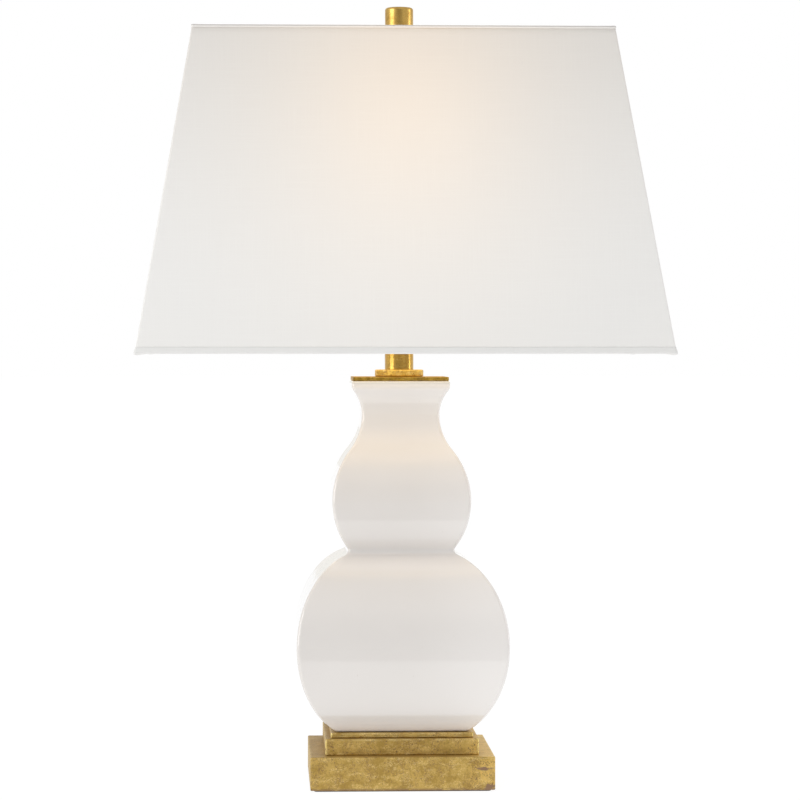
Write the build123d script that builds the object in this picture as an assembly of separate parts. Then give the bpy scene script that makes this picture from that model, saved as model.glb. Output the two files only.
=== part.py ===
from build123d import *
from math import cos, radians, sin
import os

# Gourd table lamp: a square-plan glazed gourd on a stepped gilt base, under a tapered fabric shade.
# Millimetres, +Z up. The origin is on the table top, under the middle of the base.
# The lamp faces -Y, and the long side of the shade runs along X.

# Fits
ROD_CLEARANCE = 0.25  # round the threaded rod, in wood, ceramic and plates
THREAD_CLEARANCE = 0.05  # round a thread, in what is screwed onto it
RUNNING_CLEARANCE = 0.08  # between pieces that turn or slide on each other
NESTING_CLEARANCE = 0.12  # between tubes, rings and spigots that push into each other
MATCH_TOLERANCE = 0.02  # for telling edges apart by their place

# Gilt base: three square tiers on a felt pad
FELT_THICKNESS = 1.2
FELT_SETBACK = 3.0
PLINTH_WIDTH = 160.0
PLINTH_HEIGHT = 29.0
MIDDLE_TIER_WIDTH = 133.5
MIDDLE_TIER_HEIGHT = 14.4
TOP_TIER_WIDTH = 124.0
TOP_TIER_HEIGHT = 4.8
TIER_EDGE_RADIUS = 1.0

# Pocket under the plinth, with the fixings in it and the way out for the lead
POCKET_DIAMETER = 96.0
POCKET_DEPTH = 15.0
BASE_WASHER_DIAMETER = 32.0
BASE_WASHER_THICKNESS = 2.0
LOCK_WASHER_DIAMETER = 19.0
LOCK_WASHER_THICKNESS = 1.2
LOCK_WASHER_TEETH = 12
LOCK_WASHER_NOTCH = 1.6
BASE_NUT_FLATS = 16.0
BASE_NUT_HEIGHT = 5.5
LEAD_BORE = 6.6
BUSHING_DIAMETER = 10.0
BUSHING_LENGTH = 14.0
BUSHING_FLANGE_DIAMETER = 13.0
BUSHING_FLANGE_THICKNESS = 1.6

# Threaded rod, a pipe that clamps everything from the base to the socket
ROD_DIAMETER = 10.0
ROD_BORE = 6.4
ROD_TAIL = 2.0

# Ceramic gourd: widths across the flat faces, and the rise from each to the next
GASKET_THICKNESS = 0.6
GASKET_SETBACK = 3.0
FOOT_WIDTH = 115.6
BELLY_WIDTH = 184.0
WAIST_WIDTH = 88.0
SHOULDER_WIDTH = 121.0
NECK_WIDTH = 68.2
LIP_WIDTH = 86.0
FOOT_TO_BELLY = 75.0
BELLY_TO_WAIST = 80.0
WAIST_TO_SHOULDER = 45.0
SHOULDER_TO_NECK = 75.0
NECK_TO_LIP = 23.0
LIP_HEIGHT = 7.0
LIP_TOP_RADIUS = 2.2
LIP_BLEND_RADIUS = 7.0
WAIST_BLEND_RADIUS = 4.0
GOURD_WALL = 7.0
GOURD_FLOOR = 8.0
GOURD_CEILING = 8.0
GOURD_EDGE_RADIUS = 3.0
# Sweep of the elliptical arcs above and below the belly, in degrees: near 90 the belly is at its fullest
BELLY_TO_WAIST_SWEEP = 77.4
BELLY_TO_FOOT_SWEEP = -61.9
HOLLOW_TO_WAIST_SWEEP = 60.5
# Share of the way from the shoulder to the neck at which the outline turns from full to hollow
SHOULDER_SHARE = 0.6

# Gilt plate and collar, brass stem
PLATE_WIDTH = 83.8
PLATE_THICKNESS = 3.4
PLATE_EDGE_RADIUS = 0.6
COLLAR_DIAMETER = 43.0
COLLAR_HEIGHT = 6.3
COLLAR_EDGE_RADIUS = 1.4
STEM_DIAMETER = 25.4
STEM_WALL = 1.2
STEM_LENGTH = 64.6
STEM_SEAT_DEPTH = 1.5
STEM_CAP_THICKNESS = 2.0
STEM_SPIGOT_DEPTH = 3.0

# Harp: saddle, bow, sleeves and stud
SADDLE_THICKNESS = 1.5
SADDLE_WIDTH = 13.0
SADDLE_RISE = 10.0
SADDLE_BEND_RADIUS = 3.0
SADDLE_NUT_FLATS = 15.0
SADDLE_NUT_HEIGHT = 4.0
HARP_WIRE = 3.2
HARP_LEG_SPACING = 60.0
HARP_WIDTH = 112.0
HARP_HEIGHT = 216.5
HARP_FLARE_HEIGHT = 60.0
STUB_ROOT = 4.0
STUB_HEIGHT = 3.0
LAP_LENGTH = 9.0
LAP_GAP = 0.1
LAP_END_GAP = 0.3
SLEEVE_DIAMETER = 5.8
SLEEVE_LENGTH = 16.0
SLEEVE_TRAVEL = 14.0
STUD_BLOCK_DIAMETER = 11.0
STUD_BLOCK_COVER = 1.2
STUD_DIAMETER = 6.2
STUD_THREAD_LENGTH = 11.0

# Lamp socket
SOCKET_DIAMETER = 34.0
SOCKET_SHEET = 0.8
SOCKET_LEDGE = 1.6
SOCKET_BOSS_DIAMETER = 16.0
SOCKET_BOSS_HEIGHT = 7.0
SOCKET_FLARE_HEIGHT = 6.0
SOCKET_RIM_HEIGHT = 9.0
INSULATOR_THICKNESS = 0.9
CORE_FLANGE_THICKNESS = 2.5
CORE_HEIGHT = 20.0
SCREW_SHELL_THICKNESS = 0.6
SCREW_SHELL_HEIGHT = 22.0
CONTACT_DIAMETER = 9.0
CONTACT_THICKNESS = 1.5
CONTACT_GAP = 0.1
SET_SCREW_DIAMETER = 3.0
SET_SCREW_HEAD_DIAMETER = 4.6
SET_SCREW_HEAD_LENGTH = 2.5
SET_SCREW_SLOT_WIDTH = 0.9
SET_SCREW_SLOT_DEPTH = 1.2
SWITCH_RISE = 11.0
SWITCH_SHAFT_DIAMETER = 4.0
SWITCH_SHAFT_DEPTH = 8.0
SWITCH_HOLE_DIAMETER = 6.0
SWITCH_NECK_LENGTH = 4.0
KNOB_DIAMETER = 11.5
KNOB_LENGTH = 13.0
KNOB_SEAT_DEPTH = 9.0
KNOB_FLUTES = 12
KNOB_FLUTE_DIAMETER = 1.8
KNOB_END_RADIUS = 1.0

# Bulb
BULB_CAP_DIAMETER = 26.0
BULB_CAP_LENGTH = 24.0
BULB_CAP_SHEET = 0.6
BULB_CAP_CONE = 5.0
BULB_CAP_END_DIAMETER = 18.0
BULB_INSULATOR_HEIGHT = 3.5
BULB_TIP_DIAMETER = 9.0
BULB_TIP_THICKNESS = 1.2
BULB_DIAMETER = 60.0
BULB_GLASS_LENGTH = 84.0
BULB_GLASS_WALL = 1.0
BULB_NECK_LENGTH = 5.0
BULB_NECK_INSERT = 12.0

# Shade: outside sizes of the cover, then its layers and frame
SHADE_BOTTOM_WIDTH = 457.0
SHADE_BOTTOM_DEPTH = 305.0
SHADE_TOP_WIDTH = 362.0
SHADE_TOP_DEPTH = 210.0
SHADE_HEIGHT = 280.0
COVER_THICKNESS = 0.7
BACKING_THICKNESS = 1.1
HEM_THICKNESS = 0.6
BOTTOM_HEM_HEIGHT = 5.2
TOP_HEM_HEIGHT = 2.4
SHADE_WIRE = 3.2
SHADE_WIRE_CORNER = 6.0
SHADE_WIRE_GAP = 0.1
SPIDER_WASHER_DIAMETER = 32.0
SPIDER_WASHER_THICKNESS = 2.0
SPIDER_DROP = 9.5
SPIDER_WIRE = 2.8
SPIDER_BEND_SETBACK = 30.0
SPIDER_BEND_RADIUS = 15.0

# Finial
FINIAL_DIAMETER = 24.9
FINIAL_HEIGHT = 35.2
FINIAL_TOP_RADIUS = 2.4
FINIAL_HOLE_RELIEF = 1.5

# Levels, from the table up
plinth_top = FELT_THICKNESS + PLINTH_HEIGHT
middle_tier_top = plinth_top + MIDDLE_TIER_HEIGHT
top_tier_top = middle_tier_top + TOP_TIER_HEIGHT
foot_level = top_tier_top + GASKET_THICKNESS
belly_level = foot_level + FOOT_TO_BELLY
waist_level = belly_level + BELLY_TO_WAIST
shoulder_level = waist_level + WAIST_TO_SHOULDER
neck_level = shoulder_level + SHOULDER_TO_NECK
lip_level = neck_level + NECK_TO_LIP
gourd_top = lip_level + LIP_HEIGHT
plate_top = gourd_top + PLATE_THICKNESS
collar_top = plate_top + COLLAR_HEIGHT
stem_top = collar_top + STEM_LENGTH
saddle_bottom = stem_top + STEM_CAP_THICKNESS
saddle_top = saddle_bottom + SADDLE_THICKNESS
socket_base = saddle_top + SADDLE_NUT_HEIGHT
harp_shoulder = saddle_bottom + HARP_HEIGHT
spider_washer_top = harp_shoulder + SPIDER_WASHER_THICKNESS
shade_top = spider_washer_top + SPIDER_DROP
shade_bottom = shade_top - SHADE_HEIGHT

# Levels in the pocket, from its ceiling down
pocket_ceiling = FELT_THICKNESS + POCKET_DEPTH
base_washer_bottom = pocket_ceiling - BASE_WASHER_THICKNESS
lock_washer_bottom = base_washer_bottom - LOCK_WASHER_THICKNESS
base_nut_bottom = lock_washer_bottom - BASE_NUT_HEIGHT
rod_bottom = base_nut_bottom - ROD_TAIL
lead_level = FELT_THICKNESS + POCKET_DEPTH / 2

# Levels in the socket and bulb
socket_flare_bottom = socket_base + SOCKET_BOSS_HEIGHT
socket_ledge_level = socket_flare_bottom + SOCKET_FLARE_HEIGHT
rod_top = socket_flare_bottom
core_top = socket_ledge_level + CORE_HEIGHT
screw_shell_top = core_top + SCREW_SHELL_HEIGHT
switch_level = socket_ledge_level + SWITCH_RISE
bulb_tip_bottom = core_top + CONTACT_THICKNESS + CONTACT_GAP
bulb_insulator_bottom = bulb_tip_bottom + BULB_TIP_THICKNESS
bulb_cap_bottom = bulb_insulator_bottom + BULB_INSULATOR_HEIGHT
bulb_cap_top = bulb_cap_bottom + BULB_CAP_LENGTH

# Levels on the harp
saddle_arm_top = saddle_bottom + SADDLE_RISE
lap_bottom = saddle_arm_top + STUB_HEIGHT
lap_top = lap_bottom + LAP_LENGTH
flare_bottom = saddle_arm_top + SLEEVE_LENGTH + SLEEVE_TRAVEL + HARP_WIRE
flare_top = flare_bottom + HARP_FLARE_HEIGHT
bow_apex = harp_shoulder - STUD_BLOCK_COVER - HARP_WIRE / 2
arch_level = bow_apex - HARP_WIDTH / 2

# Radii that more than one piece uses
rod_radius = ROD_DIAMETER / 2
thread_hole_radius = rod_radius + THREAD_CLEARANCE
rod_hole_radius = rod_radius + ROD_CLEARANCE
stem_bore_radius = STEM_DIAMETER / 2 - STEM_WALL
shell_radius = SOCKET_DIAMETER / 2
shell_bore_radius = shell_radius - SOCKET_SHEET
insulator_radius = shell_bore_radius - NESTING_CLEARANCE
core_radius = insulator_radius - INSULATOR_THICKNESS - NESTING_CLEARANCE
socket_rim_radius = shell_radius + NESTING_CLEARANCE
socket_ledge_radius = shell_radius - SOCKET_LEDGE
screw_shell_bore_radius = BULB_CAP_DIAMETER / 2 + RUNNING_CLEARANCE
bulb_cap_bore_radius = BULB_CAP_DIAMETER / 2 - BULB_CAP_SHEET
bulb_neck_radius = bulb_cap_bore_radius - NESTING_CLEARANCE
shaft_radius = SWITCH_SHAFT_DIAMETER / 2
stud_radius = STUD_DIAMETER / 2
leg_x = HARP_LEG_SPACING / 2
shade_layers = COVER_THICKNESS + BACKING_THICKNESS


def rod(radius, bottom, top):
    """Upright cylinder on the lamp's axis."""
    return Pos(0, 0, bottom) * extrude(Circle(radius), top - bottom)


def tube(radius, bore_radius, bottom, top):
    """Upright ring or tube on the lamp's axis."""
    return rod(radius, bottom, top) - rod(bore_radius, bottom, top)


def slab(width, bottom, top):
    """Square block on the lamp's axis."""
    return Pos(0, 0, bottom) * extrude(Rectangle(width, width), top - bottom)


def hexagon_nut(flats, bottom, top):
    """Hexagon nut, tapped for the threaded rod."""
    hexagon = RegularPolygon(flats / 2, side_count=6, major_radius=False)
    return Pos(0, 0, bottom) * extrude(hexagon, top - bottom) - rod(thread_hole_radius, bottom, top)


def turned(points):
    """Solid turned about the lamp's axis from (radius, level) points."""
    return revolve(make_face(Plane.XZ * Polyline(*points, close=True)), Axis.Z)


def across(radius, level, start, end):
    """Cylinder along Y at a level, from start to end."""
    return Pos(0, start, level) * (Rot(-90, 0, 0) * extrude(Circle(radius), end - start))


def wire_along(path, diameter):
    """Round wire swept along a path."""
    return sweep(Plane(origin=path @ 0, z_dir=path % 0) * Circle(diameter / 2), path)


def gilt_tier(width, bottom, top):
    """Square tier with softened edges, drilled for the rod."""
    block = slab(width, bottom, top)
    return fillet(block.edges(), TIER_EDGE_RADIUS) - rod(rod_hole_radius, bottom, top)


def felt_pad():
    return slab(PLINTH_WIDTH - 2 * FELT_SETBACK, 0, FELT_THICKNESS)


def base_plinth():
    """Lowest tier, with a round pocket under it and a stepped hole out of the pocket at the back."""
    back = PLINTH_WIDTH / 2
    bushing_seat = across(BUSHING_DIAMETER / 2 + NESTING_CLEARANCE, lead_level, back - BUSHING_LENGTH, back)
    lead_hole = across(LEAD_BORE / 2, lead_level, 0, back)
    pocket = rod(POCKET_DIAMETER / 2, FELT_THICKNESS, pocket_ceiling)
    return gilt_tier(PLINTH_WIDTH, FELT_THICKNESS, plinth_top) - pocket - bushing_seat - lead_hole


def cord_bushing():
    """Flanged bushing in the back of the plinth."""
    back = PLINTH_WIDTH / 2
    flange_end = back + BUSHING_FLANGE_THICKNESS
    barrel = across(BUSHING_DIAMETER / 2, lead_level, back - BUSHING_LENGTH, back)
    flange = across(BUSHING_FLANGE_DIAMETER / 2, lead_level, back, flange_end)
    return barrel + flange - across(LEAD_BORE / 2, lead_level, 0, flange_end)


def base_lock_washer():
    """Lock washer with teeth cut round its rim."""
    ring = tube(LOCK_WASHER_DIAMETER / 2, rod_hole_radius, lock_washer_bottom, base_washer_bottom)
    notch = Pos(0, 0, lock_washer_bottom) * extrude(Circle(LOCK_WASHER_NOTCH / 2), LOCK_WASHER_THICKNESS)
    return ring - PolarLocations(LOCK_WASHER_DIAMETER / 2, LOCK_WASHER_TEETH) * notch


def foot_gasket():
    sheet = slab(FOOT_WIDTH - 2 * GASKET_SETBACK, top_tier_top, foot_level)
    return sheet - rod(rod_hole_radius, top_tier_top, foot_level)


def belly_curve(belly, end, rise, sweep):
    """Arc of an ellipse that stands upright at the belly and ends at another level."""
    angle = radians(sweep)
    depth = (belly - end) / (1 - cos(angle))
    return EllipticalCenterArc((belly - depth, belly_level), depth, rise / sin(angle), 0, arc_size=sweep)


def gourd_outline(inset, waist_sweep):
    """Front outline of the gourd: arcs that stand upright at the belly, shoulder and neck."""
    foot = FOOT_WIDTH / 2 - inset
    belly = BELLY_WIDTH / 2 - inset
    waist = WAIST_WIDTH / 2 - inset
    shoulder = SHOULDER_WIDTH / 2 - inset
    neck = NECK_WIDTH / 2 - inset
    lip = LIP_WIDTH / 2 - inset
    turn = Line((shoulder, shoulder_level), (neck, neck_level)) @ SHOULDER_SHARE
    half = make_face(
        [
            Line((0, foot_level), (foot, foot_level)),
            belly_curve(belly, foot, -FOOT_TO_BELLY, BELLY_TO_FOOT_SWEEP),
            belly_curve(belly, waist, BELLY_TO_WAIST, waist_sweep),
            TangentArc((shoulder, shoulder_level), (waist, waist_level), tangent=(0, -1)),
            TangentArc((shoulder, shoulder_level), turn, tangent=(0, 1)),
            TangentArc((neck, neck_level), turn, tangent=(0, -1)),
            TangentArc((neck, neck_level), (lip, lip_level), tangent=(0, 1)),
            Line((lip, lip_level), (lip, gourd_top)),
            Line((lip, gourd_top), (0, gourd_top)),
            Line((0, gourd_top), (0, foot_level)),
        ]
    )
    half = fillet(half.vertices().sort_by_distance((lip, lip_level))[0], LIP_BLEND_RADIUS)
    half = fillet(half.vertices().sort_by_distance((waist, waist_level))[0], WAIST_BLEND_RADIUS)
    return half + mirror(half, about=Plane.YZ)


def gourd_form(inset, waist_sweep):
    """The same outline seen from the front and from the side, so that every level is a square."""
    outline = gourd_outline(inset, waist_sweep)
    reach = BELLY_WIDTH
    return extrude(Plane.XZ * outline, reach, both=True) & extrude(Plane.YZ * outline, reach, both=True)


def is_corner_edge(edge):
    """True for the upright edges where two faces of the gourd meet on a diagonal."""
    middle = edge @ 0.5
    on_diagonal = abs(abs(middle.X) - abs(middle.Y)) < MATCH_TOLERANCE
    return on_diagonal and abs((edge @ 0).Z - (edge @ 1).Z) > MATCH_TOLERANCE


def gourd_body():
    """Hollow ceramic gourd with glaze-softened corners, drilled for the rod at both ends."""
    form = gourd_form(0, BELLY_TO_WAIST_SWEEP)
    outside = fillet(form.edges().filter_by(is_corner_edge), GOURD_EDGE_RADIUS)
    outside = fillet(outside.faces().sort_by(Axis.Z)[-1].edges(), LIP_TOP_RADIUS)
    inside = gourd_form(GOURD_WALL, HOLLOW_TO_WAIST_SWEEP)
    hollow = inside & slab(BELLY_WIDTH, foot_level + GOURD_FLOOR, gourd_top - GOURD_CEILING)
    return outside - hollow - rod(rod_hole_radius, foot_level, gourd_top)


def gourd_plate():
    plate = slab(PLATE_WIDTH, gourd_top, plate_top)
    return fillet(plate.edges(), PLATE_EDGE_RADIUS) - rod(rod_hole_radius, gourd_top, plate_top)


def stem_collar():
    """Round collar with a shallow seat for the stem tube."""
    ring = tube(COLLAR_DIAMETER / 2, rod_hole_radius, plate_top, collar_top)
    rims = ring.edges().filter_by(GeomType.CIRCLE).sort_by(SortBy.RADIUS)[-2:]
    seat_radius = STEM_DIAMETER / 2 + NESTING_CLEARANCE
    return fillet(rims, COLLAR_EDGE_RADIUS) - rod(seat_radius, collar_top - STEM_SEAT_DEPTH, collar_top)


def stem_cap():
    """Disc that closes the stem tube, centred in it by a spigot."""
    disc = rod(STEM_DIAMETER / 2, stem_top, saddle_bottom)
    spigot = rod(stem_bore_radius - NESTING_CLEARANCE, stem_top - STEM_SPIGOT_DEPTH, stem_top)
    return disc + spigot - rod(rod_hole_radius, stem_top - STEM_SPIGOT_DEPTH, saddle_bottom)


def lap_half(side, outward):
    """Block that holds one half of a lap joint, the outer half or the inner one, on one leg."""
    direction = side if outward else -side
    middle = side * leg_x + direction * (LAP_GAP + HARP_WIRE) / 2
    height = LAP_LENGTH + LAP_END_GAP
    return Pos(middle, 0, lap_bottom + height / 2) * Box(HARP_WIRE, 2 * HARP_WIRE, height)


def harp_saddle():
    """Bent strip with a round stub at each end, halved to lap with the foot of the bow."""
    middle = saddle_bottom + SADDLE_THICKNESS / 2
    bend = SADDLE_BEND_RADIUS + SADDLE_THICKNESS / 2
    corners = [(-leg_x, saddle_arm_top), (-leg_x, middle), (leg_x, middle), (leg_x, saddle_arm_top)]
    strip = extrude(
        Plane.XZ * trace(FilletPolyline(*corners, radius=bend), line_width=SADDLE_THICKNESS),
        SADDLE_WIDTH / 2,
        both=True,
    )
    saddle = strip - rod(rod_hole_radius, saddle_bottom, saddle_top)
    for side in (-1, 1):
        place = Pos(side * leg_x, 0, 0)
        saddle += place * rod(HARP_WIRE / 2, saddle_arm_top - STUB_ROOT, lap_bottom)
        saddle += (place * rod(HARP_WIRE / 2, lap_bottom, lap_top)) & lap_half(side, outward=False)
    return saddle


def harp_bow():
    """One bent wire: straight legs for the sleeves, a flare round the bulb, and a round arch."""
    half = HARP_WIDTH / 2
    edges = [ThreePointArc((half, arch_level), (0, bow_apex), (-half, arch_level))]
    for side in (-1, 1):
        leg, wide = side * leg_x, side * half
        turn = ((leg + wide) / 2, (flare_bottom + flare_top) / 2)
        edges += [
            Line((leg, lap_bottom), (leg, flare_bottom)),
            TangentArc((leg, flare_bottom), turn, tangent=(0, 1)),
            TangentArc((wide, flare_top), turn, tangent=(0, -1)),
            Line((wide, flare_top), (wide, arch_level)),
        ]
    bow = wire_along(Wire([Plane.XZ * edge for edge in edges]), HARP_WIRE)
    for side in (-1, 1):
        leg_foot = Pos(side * leg_x, 0, lap_bottom + (LAP_LENGTH + LAP_END_GAP) / 2)
        foot_box = leg_foot * Box(2 * HARP_WIRE, 2 * HARP_WIRE, LAP_LENGTH + LAP_END_GAP)
        bow -= foot_box - lap_half(side, outward=True)
    return bow


def harp_sleeve(side):
    """Locking sleeve that drops over the lap joint and stands on the saddle's arm."""
    bore = HARP_WIRE / 2 + RUNNING_CLEARANCE
    return Pos(side * leg_x, 0, 0) * tube(
        SLEEVE_DIAMETER / 2, bore, saddle_arm_top, saddle_arm_top + SLEEVE_LENGTH
    )


def harp_stud(bow):
    """Block drilled across for the bow, with the threaded stud that carries shade and finial."""
    block_bottom = bow_apex - HARP_WIRE / 2 - STUD_BLOCK_COVER
    block = rod(STUD_BLOCK_DIAMETER / 2, block_bottom, harp_shoulder)
    thread = rod(stud_radius, harp_shoulder, spider_washer_top + STUD_THREAD_LENGTH)
    return block + thread - bow


def socket_cap():
    """Turned brass cap: a tapped boss, a flare with a ledge inside, and a rim round the shell."""
    boss = SOCKET_BOSS_DIAMETER / 2
    rim = socket_rim_radius + SOCKET_SHEET
    floor = socket_flare_bottom + SOCKET_SHEET
    rim_top = socket_ledge_level + SOCKET_RIM_HEIGHT
    cap = turned(
        [
            (thread_hole_radius, socket_base),
            (boss, socket_base),
            (boss, socket_flare_bottom),
            (rim, socket_ledge_level),
            (rim, rim_top),
            (socket_rim_radius, rim_top),
            (socket_rim_radius, socket_ledge_level),
            (socket_ledge_radius, socket_ledge_level),
            (boss, floor),
            (thread_hole_radius, floor),
        ]
    )
    return cap - across(
        SET_SCREW_DIAMETER / 2 + THREAD_CLEARANCE, socket_base + SOCKET_BOSS_HEIGHT / 2, rod_radius, boss
    )


def socket_set_screw():
    """Screw through the boss that locks the cap on the rod, with a slot in its head."""
    boss = SOCKET_BOSS_DIAMETER / 2
    head_end = boss + SET_SCREW_HEAD_LENGTH
    level = socket_base + SOCKET_BOSS_HEIGHT / 2
    # The boss is round, so the flat underside of the head touches it along one line.
    shank = across(SET_SCREW_DIAMETER / 2, level, rod_radius + THREAD_CLEARANCE, boss)
    head = across(SET_SCREW_HEAD_DIAMETER / 2, level, boss, head_end)
    slot = Pos(0, head_end - SET_SCREW_SLOT_DEPTH / 2, level) * Box(
        SET_SCREW_HEAD_DIAMETER, SET_SCREW_SLOT_DEPTH, SET_SCREW_SLOT_WIDTH
    )
    return shank + head - slot


def socket_shell():
    """Outer brass shell on the cap's ledge, with a hole for the switch shaft."""
    shell = tube(shell_radius, shell_bore_radius, socket_ledge_level, screw_shell_top)
    return shell - across(SWITCH_HOLE_DIAMETER / 2, switch_level, -SOCKET_DIAMETER, 0)


def socket_insulator():
    sleeve = tube(
        insulator_radius,
        insulator_radius - INSULATOR_THICKNESS,
        socket_ledge_level + CORE_FLANGE_THICKNESS,
        screw_shell_top,
    )
    return sleeve - across(SWITCH_HOLE_DIAMETER / 2, switch_level, -SOCKET_DIAMETER, 0)


def socket_core():
    """Moulded body of the switch, flanged to stand on the cap's ledge."""
    flange = rod(insulator_radius, socket_ledge_level, socket_ledge_level + CORE_FLANGE_THICKNESS)
    body = rod(core_radius, socket_ledge_level, core_top)
    shaft_hole = across(
        shaft_radius + RUNNING_CLEARANCE, switch_level, -core_radius, SWITCH_SHAFT_DEPTH - core_radius
    )
    return flange + body - shaft_hole


def switch_shaft():
    knob_start = -shell_radius - SWITCH_NECK_LENGTH
    return across(
        shaft_radius, switch_level, knob_start - KNOB_SEAT_DEPTH, SWITCH_SHAFT_DEPTH - core_radius
    )


def switch_knob():
    """Fluted knob, bored to push onto the shaft."""
    start = -shell_radius - SWITCH_NECK_LENGTH
    blank = extrude(Circle(KNOB_DIAMETER / 2), KNOB_LENGTH)
    blank = fillet(blank.edges().sort_by(Axis.Z)[-1], KNOB_END_RADIUS)
    flute = extrude(Circle(KNOB_FLUTE_DIAMETER / 2), KNOB_LENGTH)
    knob = blank - PolarLocations(KNOB_DIAMETER / 2, KNOB_FLUTES) * flute
    knob -= extrude(Circle(shaft_radius), KNOB_SEAT_DEPTH)
    return Pos(0, start, switch_level) * (Rot(90, 0, 0) * knob)


def bulb_cap():
    """Screw cap of the bulb: a thin cup with a cone at its end."""
    cone_top = bulb_cap_bottom + BULB_CAP_CONE
    side = BULB_CAP_DIAMETER / 2
    end = BULB_CAP_END_DIAMETER / 2
    return turned(
        [
            (0, bulb_cap_bottom),
            (end, bulb_cap_bottom),
            (side, cone_top),
            (side, bulb_cap_top),
            (bulb_cap_bore_radius, bulb_cap_top),
            (bulb_cap_bore_radius, cone_top),
            (end - BULB_CAP_SHEET, bulb_cap_bottom + BULB_CAP_SHEET),
            (0, bulb_cap_bottom + BULB_CAP_SHEET),
        ]
    )


def bulb_insulator():
    return turned(
        [
            (0, bulb_insulator_bottom),
            (BULB_TIP_DIAMETER / 2, bulb_insulator_bottom),
            (BULB_CAP_END_DIAMETER / 2, bulb_cap_bottom),
            (0, bulb_cap_bottom),
        ]
    )


def bulb_outline(inset):
    """Pear outline: a straight neck, a flare that turns over, and a round crown."""
    neck = bulb_neck_radius - inset
    globe = BULB_DIAMETER / 2 - inset
    neck_bottom = bulb_cap_top - BULB_NECK_INSERT
    neck_top = bulb_cap_top + BULB_NECK_LENGTH
    equator = bulb_cap_top + BULB_GLASS_LENGTH - BULB_DIAMETER / 2
    turn = ((neck + globe) / 2, (neck_top + equator) / 2)
    return revolve(
        make_face(
            [
                Plane.XZ * edge
                for edge in (
                    Line((0, neck_bottom), (neck, neck_bottom)),
                    Line((neck, neck_bottom), (neck, neck_top)),
                    TangentArc((neck, neck_top), turn, tangent=(0, 1)),
                    TangentArc((globe, equator), turn, tangent=(0, -1)),
                    TangentArc((globe, equator), (0, equator + globe), tangent=(0, 1)),
                    Line((0, equator + globe), (0, neck_bottom)),
                )
            ]
        ),
        Axis.Z,
    )


def bulb_glass():
    return bulb_outline(0) - bulb_outline(BULB_GLASS_WALL)


def shade_size(level, inset):
    """Width and depth of the shade at a level, a horizontal distance in from the cover's outside."""
    share = (level - shade_bottom) / SHADE_HEIGHT
    width = SHADE_BOTTOM_WIDTH + share * (SHADE_TOP_WIDTH - SHADE_BOTTOM_WIDTH)
    depth = SHADE_BOTTOM_DEPTH + share * (SHADE_TOP_DEPTH - SHADE_BOTTOM_DEPTH)
    return width - 2 * inset, depth - 2 * inset


def shade_block(bottom, top, inset):
    """Tapered block with the shade's slopes between two levels."""
    return loft([Pos(0, 0, level) * Rectangle(*shade_size(level, inset)) for level in (bottom, top)])


def shade_cover():
    inside = shade_block(shade_bottom, shade_top, COVER_THICKNESS)
    return shade_block(shade_bottom, shade_top, 0) - inside


def shade_panel(quarter_turns):
    """Backing panel on one side, mitred to its neighbours; 0 is the front and turns go to the right."""
    sections = []
    for level in (shade_bottom, shade_top):
        outer = shade_size(level, COVER_THICKNESS)
        inner = shade_size(level, shade_layers)
        if quarter_turns % 2:
            outer, inner = outer[::-1], inner[::-1]
        corners = [
            (-outer[0] / 2, -outer[1] / 2),
            (outer[0] / 2, -outer[1] / 2),
            (inner[0] / 2, -inner[1] / 2),
            (-inner[0] / 2, -inner[1] / 2),
        ]
        section = make_face(Polyline(*corners, close=True))
        sections.append(Pos(0, 0, level) * section)
    return Rot(0, 0, 90 * quarter_turns) * loft(sections, ruled=True)


def shade_wire_inset():
    """Distance from the cover's outside in to the middle of a frame wire, which leans with the panel."""
    lean = (SHADE_BOTTOM_WIDTH - SHADE_TOP_WIDTH) / 2 / SHADE_HEIGHT
    slant = (1 + lean**2) ** 0.5
    return shade_layers + SHADE_WIRE_GAP + slant * SHADE_WIRE / 2


def shade_wire(level):
    """Closed rectangle of frame wire inside the panels."""
    size = shade_size(level, shade_wire_inset())
    return wire_along((Pos(0, 0, level) * RectangleRounded(*size, SHADE_WIRE_CORNER)).wire(), SHADE_WIRE)


def hem(edge, height):
    """Tape folded over an edge of the shade: a band outside and a lip across the layers."""
    direction = 1 if height > 0 else -1
    fold = edge - direction * HEM_THICKNESS
    low, high = sorted((fold, edge + height))
    lip_low, lip_high = sorted((fold, edge))
    band = shade_block(low, high, -HEM_THICKNESS) - shade_block(low, high, 0)
    lip = shade_block(lip_low, lip_high, 0) - shade_block(lip_low, lip_high, shade_layers)
    return band + lip


def spider_arms(washer, wire, wire_level):
    """Four bent arms from the washer out to the middles of the top wire's sides."""
    hub_level = harp_shoulder + SPIDER_WASHER_THICKNESS / 2
    hub = SPIDER_WASHER_DIAMETER / 2 - SPIDER_WIRE / 2
    arms = []
    for size, plane in zip(shade_size(wire_level, shade_wire_inset()), (Plane.XZ, Plane.YZ)):
        end = size / 2
        for side in (-1, 1):
            points = [(hub, hub_level), (end - SPIDER_BEND_SETBACK, hub_level), (end, wire_level)]
            path = plane * FilletPolyline(*[(side * x, z) for x, z in points], radius=SPIDER_BEND_RADIUS)
            arms.append(wire_along(path, SPIDER_WIRE) - washer - wire)
    return Compound(children=[arm.solid() for arm in arms])


def finial():
    """Plain cylinder with a rounded top edge and a blind tapped hole."""
    top = spider_washer_top + FINIAL_HEIGHT
    knob = rod(FINIAL_DIAMETER / 2, spider_washer_top, top)
    knob = fillet(knob.edges().sort_by(Axis.Z)[-1], FINIAL_TOP_RADIUS)
    hole_top = spider_washer_top + STUD_THREAD_LENGTH + FINIAL_HOLE_RELIEF
    return knob - rod(stud_radius + THREAD_CLEARANCE, spider_washer_top, hole_top)


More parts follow.
